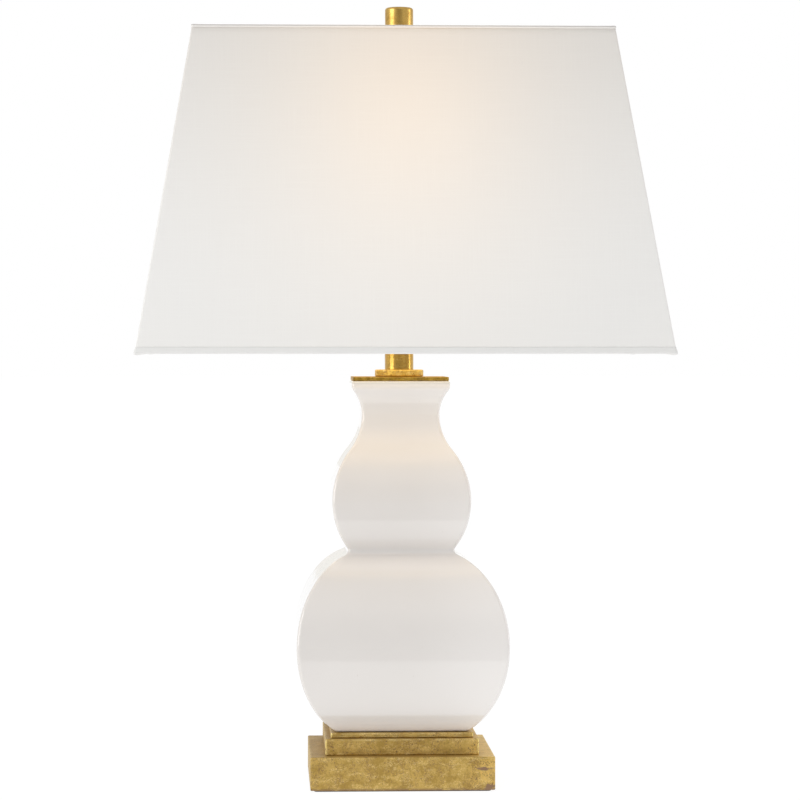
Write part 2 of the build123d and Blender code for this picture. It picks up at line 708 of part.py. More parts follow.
bottom_wire_level = shade_bottom + SHADE_WIRE / 2
top_wire_level = shade_top - SHADE_WIRE / 2
bow = harp_bow()
top_wire = shade_wire(top_wire_level)
spider_washer = tube(
    SPIDER_WASHER_DIAMETER / 2, stud_radius + RUNNING_CLEARANCE, harp_shoulder, spider_washer_top
)

nodes = {
    "felt_pad": felt_pad(),
    "base_plinth": base_plinth(),
    "base_middle_tier": gilt_tier(MIDDLE_TIER_WIDTH, plinth_top, middle_tier_top),
    "base_top_tier": gilt_tier(TOP_TIER_WIDTH, middle_tier_top, top_tier_top),
    "cord_bushing": cord_bushing(),
    "base_washer": tube(BASE_WASHER_DIAMETER / 2, rod_hole_radius, base_washer_bottom, pocket_ceiling),
    "base_lock_washer": base_lock_washer(),
    "base_nut": hexagon_nut(BASE_NUT_FLATS, base_nut_bottom, lock_washer_bottom),
    "threaded_rod": tube(rod_radius, ROD_BORE / 2, rod_bottom, rod_top),
    "foot_gasket": foot_gasket(),
    "gourd_body": gourd_body(),
    "gourd_plate": gourd_plate(),
    "stem_collar": stem_collar(),
    "stem_tube": tube(STEM_DIAMETER / 2, stem_bore_radius, collar_top - STEM_SEAT_DEPTH, stem_top),
    "stem_cap": stem_cap(),
    "harp_saddle": harp_saddle(),
    "saddle_nut": hexagon_nut(SADDLE_NUT_FLATS, saddle_top, socket_base),
    "socket_cap": socket_cap(),
    "socket_set_screw": socket_set_screw(),
    "socket_shell": socket_shell(),
    "socket_insulator": socket_insulator(),
    "socket_core": socket_core(),
    "socket_screw_shell": tube(
        screw_shell_bore_radius + SCREW_SHELL_THICKNESS, screw_shell_bore_radius, core_top, screw_shell_top
    ),
    "socket_contact": rod(CONTACT_DIAMETER / 2, core_top, core_top + CONTACT_THICKNESS),
    "switch_shaft": switch_shaft(),
    "switch_knob": switch_knob(),
    "bulb_cap": bulb_cap(),
    "bulb_insulator": bulb_insulator(),
    "bulb_contact": rod(BULB_TIP_DIAMETER / 2, bulb_tip_bottom, bulb_insulator_bottom),
    "bulb_glass": bulb_glass(),
    "harp_bow": bow,
    "harp_sleeve_left": harp_sleeve(-1),
    "harp_sleeve_right": harp_sleeve(1),
    "harp_stud": harp_stud(bow),
    "shade_cover": shade_cover(),
    "shade_panel_front": shade_panel(0),
    "shade_panel_right": shade_panel(1),
    "shade_panel_back": shade_panel(2),
    "shade_panel_left": shade_panel(3),
    "shade_bottom_wire": shade_wire(bottom_wire_level),
    "shade_top_wire": top_wire,
    "shade_bottom_hem": hem(shade_bottom, BOTTOM_HEM_HEIGHT),
    "shade_top_hem": hem(shade_top, -TOP_HEM_HEIGHT),
    "spider_washer": spider_washer,
    "spider_arms": spider_arms(spider_washer, top_wire, top_wire_level),
    "finial": finial(),
}

os.makedirs("parts", exist_ok=True)
for name, shape in nodes.items():
    export_step(shape, f"parts/{name}.step")
print(len(nodes), "pieces, lamp top at", spider_washer_top + FINIAL_HEIGHT)
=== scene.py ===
# %% [markdown]
# # A gourd table lamp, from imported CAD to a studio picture
# The lamp is a square glazed gourd on a stepped gilt base, under a tapered linen shade.
# Its wood, ceramic, metal and wire pieces come from the CAD model at their real size and place.
# This lesson dresses them. It makes the cloth that CAD leaves plain, gives every surface a procedural
# finish, and sets the camera and the light. Lengths are metres, in the same frame as the CAD.

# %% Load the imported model
import math

import bpy
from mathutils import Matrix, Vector, noise


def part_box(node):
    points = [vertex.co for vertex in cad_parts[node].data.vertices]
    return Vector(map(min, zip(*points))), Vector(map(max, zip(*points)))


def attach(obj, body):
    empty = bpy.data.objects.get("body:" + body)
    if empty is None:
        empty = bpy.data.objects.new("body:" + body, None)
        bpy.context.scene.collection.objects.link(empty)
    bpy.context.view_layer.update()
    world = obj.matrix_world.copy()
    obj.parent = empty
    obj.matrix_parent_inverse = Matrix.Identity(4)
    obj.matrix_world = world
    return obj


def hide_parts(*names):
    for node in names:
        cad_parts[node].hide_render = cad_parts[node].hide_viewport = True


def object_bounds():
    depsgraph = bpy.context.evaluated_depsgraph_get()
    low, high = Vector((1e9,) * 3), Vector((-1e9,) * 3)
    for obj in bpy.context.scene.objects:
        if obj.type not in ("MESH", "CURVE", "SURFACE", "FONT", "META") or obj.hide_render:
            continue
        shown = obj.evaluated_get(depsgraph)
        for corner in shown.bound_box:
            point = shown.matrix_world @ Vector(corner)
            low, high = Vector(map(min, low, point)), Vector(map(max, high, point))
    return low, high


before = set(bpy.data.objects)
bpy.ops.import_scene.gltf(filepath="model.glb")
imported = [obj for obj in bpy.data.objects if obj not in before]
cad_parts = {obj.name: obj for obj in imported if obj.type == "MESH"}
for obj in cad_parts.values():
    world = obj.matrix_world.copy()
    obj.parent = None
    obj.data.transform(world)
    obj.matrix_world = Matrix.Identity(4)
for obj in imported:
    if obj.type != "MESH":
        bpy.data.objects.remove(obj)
scene = bpy.context.scene
MM = 0.001
cad_low, cad_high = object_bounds()
print("CAD box in mm:", [round(size / MM, 1) for size in cad_high - cad_low])

# %% [markdown]
# ## Camera
# The picture was taken with a long lens, level with the lower edge of the shade, and a little from the
# left, so that a sliver of the gourd's left side shows. A long lens keeps the sides of the shade straight
# and the tiers of the base flat. The camera is aimed by turning it. A shifted lens would frame the lamp
# as well, but it would put every other view off centre.

# %% Camera
CAMERA_AZIMUTH = math.radians(-2.4)
CAMERA_DISTANCE = 2.848
CAMERA_HEIGHT = 0.383
CAMERA_AIM = Vector((0.0008, 0.0, 0.3376))
LENS_MM = 144.4


def show(name, data):
    """Puts new data into the scene as an object."""
    obj = bpy.data.objects.new(name, data)
    scene.collection.objects.link(obj)
    return obj


def aim(obj, place, target):
    """Places a camera or a light, and turns it to a target."""
    obj.location = place
    obj.rotation_mode = "QUATERNION"
    obj.rotation_quaternion = (Vector(target) - Vector(place)).to_track_quat("-Z", "Y")


camera = show("camera", bpy.data.cameras.new("camera"))
camera.data.lens = LENS_MM
back = Vector((math.sin(CAMERA_AZIMUTH), -math.cos(CAMERA_AZIMUTH), 0)) * CAMERA_DISTANCE
aim(camera, back + Vector((0, 0, CAMERA_HEIGHT)), CAMERA_AIM)
scene.camera = camera
scene.view_settings.view_transform = "Standard"
print("camera at", [round(x, 3) for x in camera.location])

# %% [markdown]
# ## Small helpers for shader nodes
# Every finish here is a network of nodes. Written out in full, each node takes four or five lines, so a
# few helpers add a node, feed its inputs and hand back the socket that the next node needs.

# %% Node helpers


def add(tree, kind, inputs=None, **settings):
    """Adds a shader node. Each input is given by name or number, as a value or as a socket to link."""
    made = tree.nodes.new("ShaderNode" + kind)
    for name, value in settings.items():
        setattr(made, name, value)
    for key, value in (inputs or {}).items():
        if isinstance(value, bpy.types.NodeSocket):
            tree.links.new(value, made.inputs[key])
        else:
            made.inputs[key].default_value = value
    return made


def calc(tree, operation, first, second=0.0):
    return add(tree, "Math", {0: first, 1: second}, operation=operation).outputs[0]


def times(tree, first, second):
    return calc(tree, "MULTIPLY", first, second)


def mix(tree, share, first, second):
    """Value between two others, by a share from 0 to 1."""
    return add(tree, "Mix", {0: share, 2: first, 3: second}, data_type="FLOAT").outputs[0]


def here(tree, kind="Object"):
    """Where a point of a piece is in the lamp's frame, or which way it faces: Object or Normal."""
    return add(tree, "TexCoord").outputs[kind]


def axes(tree, vector):
    """The X, Y and Z of a vector, each by its letter."""
    return add(tree, "SeparateXYZ", {0: vector}).outputs


def between(tree, value, low, high):
    """Eases from 0 to 1 as the value goes from low to high."""
    ends = {"Value": value, "From Min": low, "From Max": high}
    return add(tree, "MapRange", ends, interpolation_type="SMOOTHSTEP").outputs[0]


def span(tree, share, low, high):
    """A value from low to high, by a share from 0 to 1."""
    return add(tree, "MapRange", {"Value": share, "To Min": low, "To Max": high}).outputs[0]


def blend(tree, share, first, second, kind="MIX"):
    mixed = add(tree, "Mix", {0: share, 6: first, 7: second}, data_type="RGBA", blend_type=kind)
    return mixed.outputs[2]


def clouds(tree, place, scale, detail=4.0, roughness=0.55, distortion=0.0):
    """Soft random tone; scale is in clouds per metre."""
    values = {"Vector": place, "Scale": scale, "Detail": detail, "Roughness": roughness}
    values["Distortion"] = distortion
    return add(tree, "TexNoise", values).outputs[0]


def stretched(tree, place, scale, shift=(0, 0, 0)):
    """The same place with each axis scaled by itself, for grain that runs one way, and shifted."""
    return add(tree, "VectorMath", {0: place, 1: scale, 2: shift}, operation="MULTIPLY_ADD").outputs[0]


def raised(tree, height, strength, distance):
    """Normal of a surface with this height on it; distance is the full height in metres."""
    return add(tree, "Bump", {"Height": height, "Strength": strength, "Distance": distance}).outputs[0]


def rgb(red, green, blue):
    return (red, green, blue, 1.0)


finishes = {}


def finish(name, **constants):
    """New material. What is the same all over it is set straight on the shader's sockets."""
    material = bpy.data.materials.new("finish_" + name)
    material.use_nodes = True
    tree = material.node_tree
    shader = tree.nodes["Principled BSDF"]
    for label, value in constants.items():
        shader.inputs[label.replace("_", " ")].default_value = value
    finishes[name] = material
    return tree, shader


def feed(node, **sources):
    """Links what changes over the surface to a shader's inputs, or to those of any other node."""
    for label, source in sources.items():
        node.id_data.links.new(source, node.inputs[label.replace("_", " ")])


# %% [markdown]
# ## Floor, backdrop and light
# The picture has a pure white ground. More light would give that too, but it would bleach the glaze and
# the linen. Here the floor and the world are white only to the camera, to reflections and to what is seen
# through glass, by way of the Light Path node, and the lamps stay at a plain level. A share of the floor
# stays ordinary matt white, so it keeps the soft shadow under the base. To the lamp itself the floor is
# lit, as a white sweep is, and brightens the underside of both bulbs.
#
# Reflections show where the white ends. Behind the lamp they meet the backdrop. In front, the sweep stops
# half a metre from the lamp, and past its edge lies an unlit room. That edge is the level line across each
# bulb of the gourd, and the room is the dark middle of the turned brass. From below the floor is clear, so
# that the felt under the base can be looked at.

# %% Floor and world
AMBIENT = 0.6
MIRRORED = 0.7
FRONT_SHADE = 0.36
BACKDROP = 0.9
FLOOR_REACH = 40.0
FLOOR_LIGHT = 1.05
FLOOR_GLOW = 0.9
FLOOR_BOUNCE = 1.2
SWEEP_FRONT = 0.45
SWEEP_EDGE = 0.04
FLOOR_GAP = 0.1 * MM
WHITE = rgb(1, 1, 1)
BLACK = rgb(0, 0, 0)
BACKDROP_TINT = rgb(1.0, 0.985, 0.945)
ROOM_CONE = (6, 34)  # degrees from straight ahead: inside the first, unlit; outside the second, lit
BACKDROP_CONE = (24, 48)


def seen_directly(tree):
    """1 for rays that show a surface as it looks: to the camera, in a reflection, or through glass."""
    path = add(tree, "LightPath").outputs
    direct = calc(tree, "MAXIMUM", path["Is Camera Ray"], path["Is Glossy Ray"])
    return calc(tree, "MAXIMUM", direct, path["Is Transmission Ray"])


def cone(tree, value, inner, outer):
    """1 inside a cone round a direction, 0 outside; value is the cosine from it, the angles are degrees."""
    return between(tree, value, math.cos(math.radians(outer)), math.cos(math.radians(inner)))


def studio_world():
    world = bpy.data.worlds.new("studio")
    world.use_nodes = True
    tree = world.node_tree
    direction = add(tree, "TexCoord").outputs["Generated"]
    facing = add(tree, "VectorMath", {0: direction, 1: (0, -1, 0)}, operation="DOT_PRODUCT").outputs["Value"]
    room = span(tree, cone(tree, facing, *ROOM_CONE), MIRRORED, MIRRORED - FRONT_SHADE)
    backdrop = cone(tree, times(tree, facing, -1.0), *BACKDROP_CONE)
    mirrored = mix(tree, backdrop, room, BACKDROP)
    plain = span(tree, seen_directly(tree), AMBIENT, 1.0)
    glossy = add(tree, "LightPath").outputs["Is Glossy Ray"]
    strength = mix(tree, glossy, plain, mirrored)
    warmth = times(tree, glossy, backdrop)
    tint = blend(tree, warmth, WHITE, BACKDROP_TINT)
    feed(tree.nodes["Background"], Strength=strength, Color=tint)
    return world


def studio_floor():
    mesh = bpy.data.meshes.new("floor")
    corners = [(-FLOOR_REACH, -FLOOR_REACH), (FLOOR_REACH, -FLOOR_REACH)]
    corners += [(-x, -y) for x, y in corners]
    mesh.from_pydata([(x, y, cad_low.z - FLOOR_GAP) for x, y in corners], [], [(0, 1, 2, 3)])
    floor = show("floor", mesh)
    tree, shader = finish("floor")
    tree.nodes.remove(shader)
    matt = add(tree, "BsdfDiffuse", {"Color": WHITE})
    path = add(tree, "LightPath").outputs
    place = add(tree, "NewGeometry").outputs
    depth = axes(tree, place["Position"])["Y"]
    past_front = between(tree, depth, -SWEEP_FRONT, -SWEEP_FRONT - SWEEP_EDGE)
    dim = times(tree, past_front, path["Is Glossy Ray"])
    seen = span(tree, dim, FLOOR_LIGHT, MIRRORED - FRONT_SHADE)
    lit = mix(tree, path["Is Diffuse Ray"], seen, FLOOR_BOUNCE)
    glow = add(tree, "Emission", {"Color": WHITE, "Strength": lit})
    glowing = calc(tree, "MAXIMUM", seen_directly(tree), path["Is Diffuse Ray"])
    share = times(tree, glowing, FLOOR_GLOW)
    ground = add(tree, "MixShader", {0: share, 1: matt.outputs[0], 2: glow.outputs[0]})
    clear = add(tree, "BsdfTransparent")
    sided = add(tree, "MixShader", {0: place["Backfacing"], 1: ground.outputs[0], 2: clear.outputs[0]})
    feed(tree.nodes["Material Output"], Surface=sided.outputs[0])
    mesh.materials.append(finishes["floor"])


scene.world = studio_world()
studio_floor()
print("floor at", round(cad_low.z, 5), "ambient", AMBIENT)

# %% [markdown]
# Three large soft lamps shape the forms. The one on the left lights the gourd's left side and draws the
# broad highlight on the finial, a narrow one on the right draws the thin highlight there, and the one
# overhead lays a soft band along the shoulder and the belly of the gourd. That last one isn't mirrored,
# because the glaze would show it as a bright square.

# %% Soft lamps
LAMP_TARGET = Vector((0, 0, 0.32))
SOFT_LAMPS = {
    # name: azimuth and elevation in degrees, distance, width, height, power in watts
    "soft_left": (-64, 12, 2.3, 1.3, 1.7, 17.0),
    "soft_right": (92, 10, 2.3, 0.5, 1.7, 7.0),
    "soft_above": (-10, 62, 2.4, 1.8, 1.2, 8.0),
}


def area_lamp(name, shape, power, place, target):
    """Soft lamp at a place, aimed at a target."""
    light = bpy.data.lights.new(name, "AREA")
    light.shape = shape
    light.energy = power
    lamp = show(name, light)
    aim(lamp, place, target)
    return lamp


for name, (azimuth, elevation, distance, width, height, power) in SOFT_LAMPS.items():
    turn, lift = math.radians(azimuth), math.radians(elevation)
    out = Vector((math.sin(turn) * math.cos(lift), -math.cos(turn) * math.cos(lift), math.sin(lift)))
    lamp = area_lamp(name, "RECTANGLE", power, LAMP_TARGET + out * distance, LAMP_TARGET)
    lamp.data.size, lamp.data.size_y = width, height
    lamp.visible_glossy = name != "soft_above"
print("soft lamps:", ", ".join(SOFT_LAMPS))

# %% [markdown]
# ## Shared effects
# Several finishes need the same thing: tone that drifts over the surface, edges that are rubbed bright,
# fine lines left by a lathe. Each is a node group that is built once and puts out masks or heights, and
# each finish places it with its own values.

# %% Group helper


def group(name, inputs, outputs):
    """Empty shader group: its tree, the values that it is given, and the node that takes its outputs."""
    tree = bpy.data.node_groups.new(name, "ShaderNodeTree")
    for label, value in inputs.items():
        kind = "NodeSocketColor" if isinstance(value, tuple) else "NodeSocketFloat"
        tree.interface.new_socket(label, in_out="INPUT", socket_type=kind).default_value = value
    for label, kind in outputs.items():
        tree.interface.new_socket(label, in_out="OUTPUT", socket_type="NodeSocket" + kind)
    return tree, tree.nodes.new("NodeGroupInput").outputs, tree.nodes.new("NodeGroupOutput")


def place_group(tree, made, **inputs):
    """Puts a group into a material and returns its outputs."""
    named = {label.replace("_", " "): value for label, value in inputs.items()}
    return add(tree, "Group", named, node_tree=made).outputs


# %% [markdown]
# No real surface is one flat colour. The first group gives two noises, one broad and one fine, that most
# finishes use for a slight drift in colour and gloss. It takes places in metres, so the tone has a real size.

# %% Drifting tone


def drift_group():
    """Broad and fine random tone; Scale is in broad clouds per metre."""
    tree, given, out = group("drift", {"Scale": 60.0}, {"Broad": "Float", "Fine": "Float"})
    place = here(tree)
    finer = times(tree, given["Scale"], 14.0)
    feed(out, Broad=clouds(tree, place, given["Scale"], 3.0), Fine=clouds(tree, place, finer, 5.0, 0.65))
    return tree


drift = drift_group()
print("group:", drift.name)

# %% [markdown]
# Edges catch hands, cloths and the maker's burnisher. Blender's Bevel node finds them on any mesh: where
# the bevelled normal leaves the true one, an edge is near. Broken up by noise, that is a mask of rubbed
# places. Mesh curvature would give a mask too, but only on an evenly dense mesh, which CAD doesn't give.

# %% Rubbed edges


def rubbed_group():
    """Mask of the places along edges that are rubbed; Width is in metres, Breakup in patches per metre."""
    tree, given, out = group("rubbed_edges", {"Width": 0.001, "Breakup": 400.0}, {"Rubbed": "Float"})
    rounded = add(tree, "Bevel", {"Radius": given["Width"]}, samples=6).outputs[0]
    true_normal = add(tree, "NewGeometry").outputs["Normal"]
    agree = add(tree, "VectorMath", {0: rounded, 1: true_normal}, operation="DOT_PRODUCT").outputs["Value"]
    edge = between(tree, calc(tree, "SUBTRACT", 1.0, agree), 0.015, 0.16)
    patches = between(tree, clouds(tree, here(tree), given["Breakup"], 4.0, 0.7), 0.44, 0.58)
    feed(out, Rubbed=times(tree, edge, patches))
    return tree


rubbed_edges = rubbed_group()
print("group:", rubbed_edges.name)

# %% [markdown]
# Turned and spun brass keeps faint rings from the lathe. They could be modelled, but they are far finer than
# the mesh. Noise that is squeezed along the axis and drawn out round it gives the same broken rings.

# %% Lathe lines


def lathe_group():
    """Fine rings round the lamp's axis, as turning and polishing leave them; Lines is rings per metre."""
    tree, given, out = group("lathe_lines", {"Lines": 2500.0}, {"Lines": "Float"})
    place = axes(tree, here(tree))
    across = times(tree, given["Lines"], 0.02)
    squeeze = {"X": across, "Y": across, "Z": given["Lines"]}
    squeezed = {axis: times(tree, place[axis], factor) for axis, factor in squeeze.items()}
    rings = add(tree, "CombineXYZ", squeezed).outputs[0]
    feed(out, Lines=clouds(tree, rings, 1.0, 3.0, 0.6))
    return tree


lathe_lines = lathe_group()
print("group:", lathe_lines.name)

# %% [markdown]
# ## Gold leaf
# The base is wood, coated with a red-brown clay called bole and laid with leaf a few ten-thousandths of a
# millimetre thick. The leaf wrinkles, wears and lets the bole through in patches. Its tone comes from
# noise of several sizes: clouds of a few millimetres, crackle inside them, and specks like pin pricks. The
# torn pieces that the leaf was laid in are cells with ragged borders, each a little lighter or darker. The
# wrinkles and cracks are where a noise crosses its middle value, which draws thin, winding lines. The plate,
# collar and stem are gilded the same way, on metal, so the leaf is a group that takes its colours as inputs.
#
# The base is handled most at its right front end, where more bole shows, and its leaf is painted lighter
# towards the right end, as painted light. The edges of its upper tiers are burnished bright, their upright
# corners are rubbed pale and carry a painted glint, and the lowest edge is darkened in patches to the bole
# colour.

# %% Gold leaf group


def leaf_group():
    """Colour, bare-bole mask and height of worn leaf; Scale is in clouds per metre."""
    inputs = {"Scale": 100.0, "Wear": 0.0}
    inputs.update({colour: rgb(0.5, 0.5, 0.5) for colour in ("Leaf", "Deep", "Bright", "Bole")})
    outputs = {"Colour": "Color", "Bare": "Float", "Tone": "Float", "Height": "Float"}
    tree, given, out = group("worn_leaf", inputs, outputs)
    place = here(tree)

    def finer(factor):
        return times(tree, given["Scale"], factor)

    soft = clouds(tree, place, finer(0.6), 8.0, 0.68, 0.4)
    crackle = clouds(tree, place, finer(6.0), 6.0, 0.75, 1.2)
    tone = calc(tree, "ADD", times(tree, soft, 0.6), times(tree, crackle, 0.4))
    wander = add(tree, "TexNoise", {"Vector": place, "Scale": finer(3.0), "Detail": 5.0}).outputs["Color"]
    torn = stretched(tree, wander, (0.016, 0.016, 0.016), place)
    pieces = add(tree, "TexVoronoi", {"Vector": torn, "Scale": finer(1.3)}).outputs["Color"]
    laid = add(tree, "SeparateColor", {0: pieces}).outputs["Red"]
    toned = calc(tree, "ADD", tone, times(tree, calc(tree, "SUBTRACT", laid, 0.5), 0.13))
    gold = blend(tree, between(tree, toned, 0.39, 0.58), given["Deep"], given["Leaf"])

    def lines(way, scale, width):
        """Winding lines where a noise crosses its middle value, gathered in patches."""
        drawn = stretched(tree, place, way)
        folds = clouds(tree, drawn, finer(scale), 5.0, 0.66, 1.4)
        ridge = calc(tree, "ABSOLUTE", calc(tree, "SUBTRACT", folds, 0.5))
        patches = between(tree, clouds(tree, drawn, finer(1.1), 3.0), 0.44, 0.58)
        return times(tree, between(tree, ridge, width, width / 4), patches)

    wrinkles = lines((0.7, 0.7, 1.35), 2.4, 0.03)
    gold = blend(tree, times(tree, wrinkles, 0.6), gold, given["Bright"])
    cracks = lines((1.3, 1.3, 0.75), 2.0, 0.026)
    gold = blend(tree, times(tree, cracks, 0.75), gold, given["Bole"])
    pricks = calc(tree, "ADD", clouds(tree, place, finer(6.5), 4.0, 0.7), times(tree, given["Wear"], 0.04))
    specks = between(tree, pricks, 0.575, 0.61)
    thick = between(tree, clouds(tree, place, finer(1.4), 2.0), 0.42, 0.6)
    gold = blend(tree, times(tree, times(tree, specks, thick), 0.95), gold, given["Bole"])
    smeared = stretched(tree, place, (0.55, 0.55, 1.3), (0.31, 0.0, 0.07))
    ragged = clouds(tree, smeared, finer(0.7), 9.0, 0.66, 0.7)
    worn = calc(tree, "ADD", ragged, times(tree, given["Wear"], 0.14))
    bare = between(tree, worn, 0.68, 0.72)
    lifted = calc(tree, "SUBTRACT", crackle, times(tree, bare, 0.6))
    folded = calc(tree, "SUBTRACT", times(tree, wrinkles, 0.5), times(tree, cracks, 0.3))
    height = calc(tree, "ADD", lifted, folded)
    feed(out, Colour=blend(tree, bare, gold, given["Bole"]), Bare=bare, Tone=tone, Height=height)
    return tree


worn_leaf = leaf_group()
print("group:", worn_leaf.name)

# %% [markdown]
# The base joins the leaf with its wear. Dust lies on the flat tops, which are duller, and its colour is
# painted lighter towards the right end, as a painted reflection. Every mask comes from the place, the
# normal or the edges, so that nothing has to be painted by hand.

# %% Gilded base
DARK_EDGE_RISE = 2.6 * MM
DARK_EDGE_FULL_RISE = 0.6 * MM


def gilded_wood():
    tree, shader = finish("gold_leaf")
    place = here(tree)
    at = axes(tree, place)
    plinth_low, plinth_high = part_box("base_plinth")
    bole = rgb(0.27, 0.16, 0.085)
    right_end = between(tree, at["X"], plinth_high.x - 30 * MM, plinth_high.x - 6 * MM)
    front_end = between(tree, at["Y"], plinth_low.y + 25 * MM, plinth_low.y + 5 * MM)
    leaf = place_group(
        tree,
        worn_leaf,
        Scale=100.0,
        Wear=times(tree, right_end, front_end),
        # Painted light: the leaf is lighter towards the right end.
        Leaf=blend(tree, right_end, rgb(0.64, 0.436, 0.13), rgb(0.79, 0.538, 0.16)),
        Deep=rgb(0.465, 0.303, 0.08),
        Bright=rgb(0.98, 0.78, 0.36),
        Bole=bole,
    )
    rubbed = place_group(tree, rubbed_edges, Width=0.004, Breakup=200.0)["Rubbed"]
    on_tiers = between(tree, at["Z"], plinth_high.z - MM, plinth_high.z + MM)
    burnished = times(tree, rubbed, span(tree, on_tiers, 0.3, 1.0))
    bright = blend(tree, burnished, leaf["Colour"], rgb(1.0, 0.83, 0.42))
    # Upright corners rubbed pale and also a painted glint: pale yellow and hardly metallic, so they stay
    # bright.
    facing = axes(tree, here(tree, "Normal"))
    diagonal = calc(tree, "ABSOLUTE", times(tree, facing["X"], facing["Y"]))
    corners = times(tree, between(tree, diagonal, 0.06, 0.25), on_tiers)
    chafed_and_glint = times(tree, corners, between(tree, clouds(tree, place, 380.0), 0.42, 0.52))
    pale = blend(tree, chafed_and_glint, bright, rgb(1.0, 0.80, 0.27))
    # The lowest edge is darkened in patches to the bole colour.
    low_edge = between(tree, at["Z"], plinth_low.z + DARK_EDGE_RISE, plinth_low.z + DARK_EDGE_FULL_RISE)
    dark_low_edge = times(tree, low_edge, between(tree, clouds(tree, place, 260.0), 0.36, 0.5))
    with_dark_low_edge = blend(tree, times(tree, dark_low_edge, 0.75), pale, bole)
    dusty = times(tree, between(tree, facing["Z"], 0.7, 0.95), 0.5)
    # Dust colour, painted lighter towards the right end as a painted reflection.
    dust_and_reflection = blend(tree, right_end, rgb(0.33, 0.195, 0.035), rgb(0.97, 0.68, 0.21))
    bare_dust_and_glint = calc(tree, "MAXIMUM", calc(tree, "MAXIMUM", leaf["Bare"], dusty), chafed_and_glint)
    rough = span(tree, leaf["Tone"], 0.56, 0.4)
    smoothed = mix(tree, burnished, rough, 0.16)
    feed(
        shader,
        Base_Color=blend(tree, dusty, with_dark_low_edge, dust_and_reflection),
        Metallic=span(tree, bare_dust_and_glint, 1.0, 0.2),
        Roughness=smoothed,
        Normal=raised(tree, leaf["Height"], 0.5, 0.0004),
    )


gilded_wood()
print("finish: gold leaf on wood")

# %% [markdown]
# The collar, the plate and the stem have leaf on smooth metal. One function makes all three. They differ in
# how much the leaf was burnished, which sets the roughness and the relief, and in their tone of gold.

# %% Gilded metal


def gilded_metal(name, scale, rough, relief, leaf, deep, bright, bole):
    tree, shader = finish(name, Metallic=1.0)
    gilt = place_group(tree, worn_leaf, Scale=scale, Wear=0.2, Leaf=leaf, Deep=deep, Bright=bright, Bole=bole)
    rubbed = place_group(tree, rubbed_edges, Width=0.0004, Breakup=700.0)["Rubbed"]
    feed(
        shader,
        Base_Color=blend(tree, rubbed, gilt["Colour"], bright),
        Roughness=span(tree, gilt["Tone"], rough * 1.25, rough * 0.75),
        Normal=raised(tree, gilt["Height"], relief, 0.0003),
    )


COLLAR_GOLD = (rgb(0.96, 0.68, 0.16), rgb(0.62, 0.375, 0.067), rgb(1.0, 0.88, 0.50), rgb(0.34, 0.17, 0.055))
PLATE_GOLD = (rgb(0.60, 0.38, 0.06), rgb(0.32, 0.183, 0.024), rgb(0.82, 0.60, 0.20), rgb(0.20, 0.11, 0.035))
STEM_GOLD = (rgb(0.685, 0.417, 0.087), rgb(0.58, 0.335, 0.067), rgb(0.80, 0.60, 0.22), rgb(0.30, 0.175, 0.05))
gilded_metal("gilt_metal", 170.0, 0.42, 0.4, *COLLAR_GOLD)
gilded_metal("plate_gilt", 190.0, 0.46, 0.4, *PLATE_GOLD)
gilded_metal("stem_gilt", 190.0, 0.2, 0.06, *STEM_GOLD)
print("finish: gold leaf on metal")

# %% [markdown]
# ## Glaze
# The gourd is dipped in a thick cream-white glaze. It is one smooth glassy coat over a matt body, so the
# shader has a low roughness and a full clear coat. A very slow swell in the coat makes reflections wander
# as they do on a hand-dipped pot, tiny pits break them, and where the glaze runs thin on edges a little of
# the warm body shows. Light is painted into the colour too: it is whiter towards the right side, at the foot
# and just below the waist, as painted light, and greyer round the lip under the plate, as painted shade.

# %% White glaze
WAIST_RISE = 155 * MM
FOOT_LIGHT_RISE = 14 * MM
WAIST_LIGHT_DROP = 9 * MM
WAIST_LIGHT_FADE = 8 * MM
LIP_SHADE_DEPTH = 4 * MM


def white_glaze():
    tree, shader = finish("white_glaze", Coat_Weight=1.0, Coat_Roughness=0.03, Coat_IOR=1.5)
    place = here(tree)
    tone = place_group(tree, drift, Scale=22.0)
    thin = place_group(tree, rubbed_edges, Width=0.003, Breakup=60.0)["Rubbed"]
    body = blend(tree, tone["Broad"], rgb(0.745, 0.712, 0.682), rgb(0.775, 0.742, 0.712))
    pits = between(tree, clouds(tree, place, 520.0, 2.0), 0.74, 0.8)
    pitted = blend(tree, times(tree, pits, 0.5), body, rgb(0.55, 0.49, 0.43))
    low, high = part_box("gourd_body")
    at = axes(tree, place)
    # Painted light: the glaze colour is whiter towards the right side.
    lit_towards_right = blend(tree, between(tree, at["X"], 0.0, high.x), pitted, rgb(0.83, 0.80, 0.775))
    waist = low.z + WAIST_RISE
    # Painted light: the glaze is whiter at the foot and just below the waist, where shade falls.
    foot_painted_light = between(tree, at["Z"], low.z + FOOT_LIGHT_RISE, low.z)
    below = between(tree, at["Z"], waist + 2 * MM, waist - 2 * MM)
    not_far = between(tree, at["Z"], waist - WAIST_LIGHT_DROP - WAIST_LIGHT_FADE, waist - WAIST_LIGHT_DROP)
    waist_painted_light = times(tree, below, not_far)
    lit_below_waist = blend(tree, waist_painted_light, lit_towards_right, rgb(0.84, 0.80, 0.765))
    lit_at_foot = blend(tree, foot_painted_light, lit_below_waist, rgb(0.95, 0.90, 0.87))
    # Painted shade: the glaze is greyer round the lip, under the plate.
    lip = between(tree, at["Z"], high.z - LIP_SHADE_DEPTH, high.z - 1.5 * MM)
    shaded_lip = blend(tree, lip, lit_at_foot, rgb(0.64, 0.63, 0.60))
    swell = clouds(tree, place, 9.0, 1.0)
    height = calc(tree, "SUBTRACT", swell, times(tree, pits, 0.05))
    feed(
        shader,
        Base_Color=blend(tree, times(tree, thin, 0.35), shaded_lip, rgb(0.80, 0.73, 0.66)),
        Roughness=span(tree, tone["Fine"], 0.1, 0.2),
        Normal=raised(tree, height, 0.25, 0.002),
    )


white_glaze()
print("finish: white glaze")

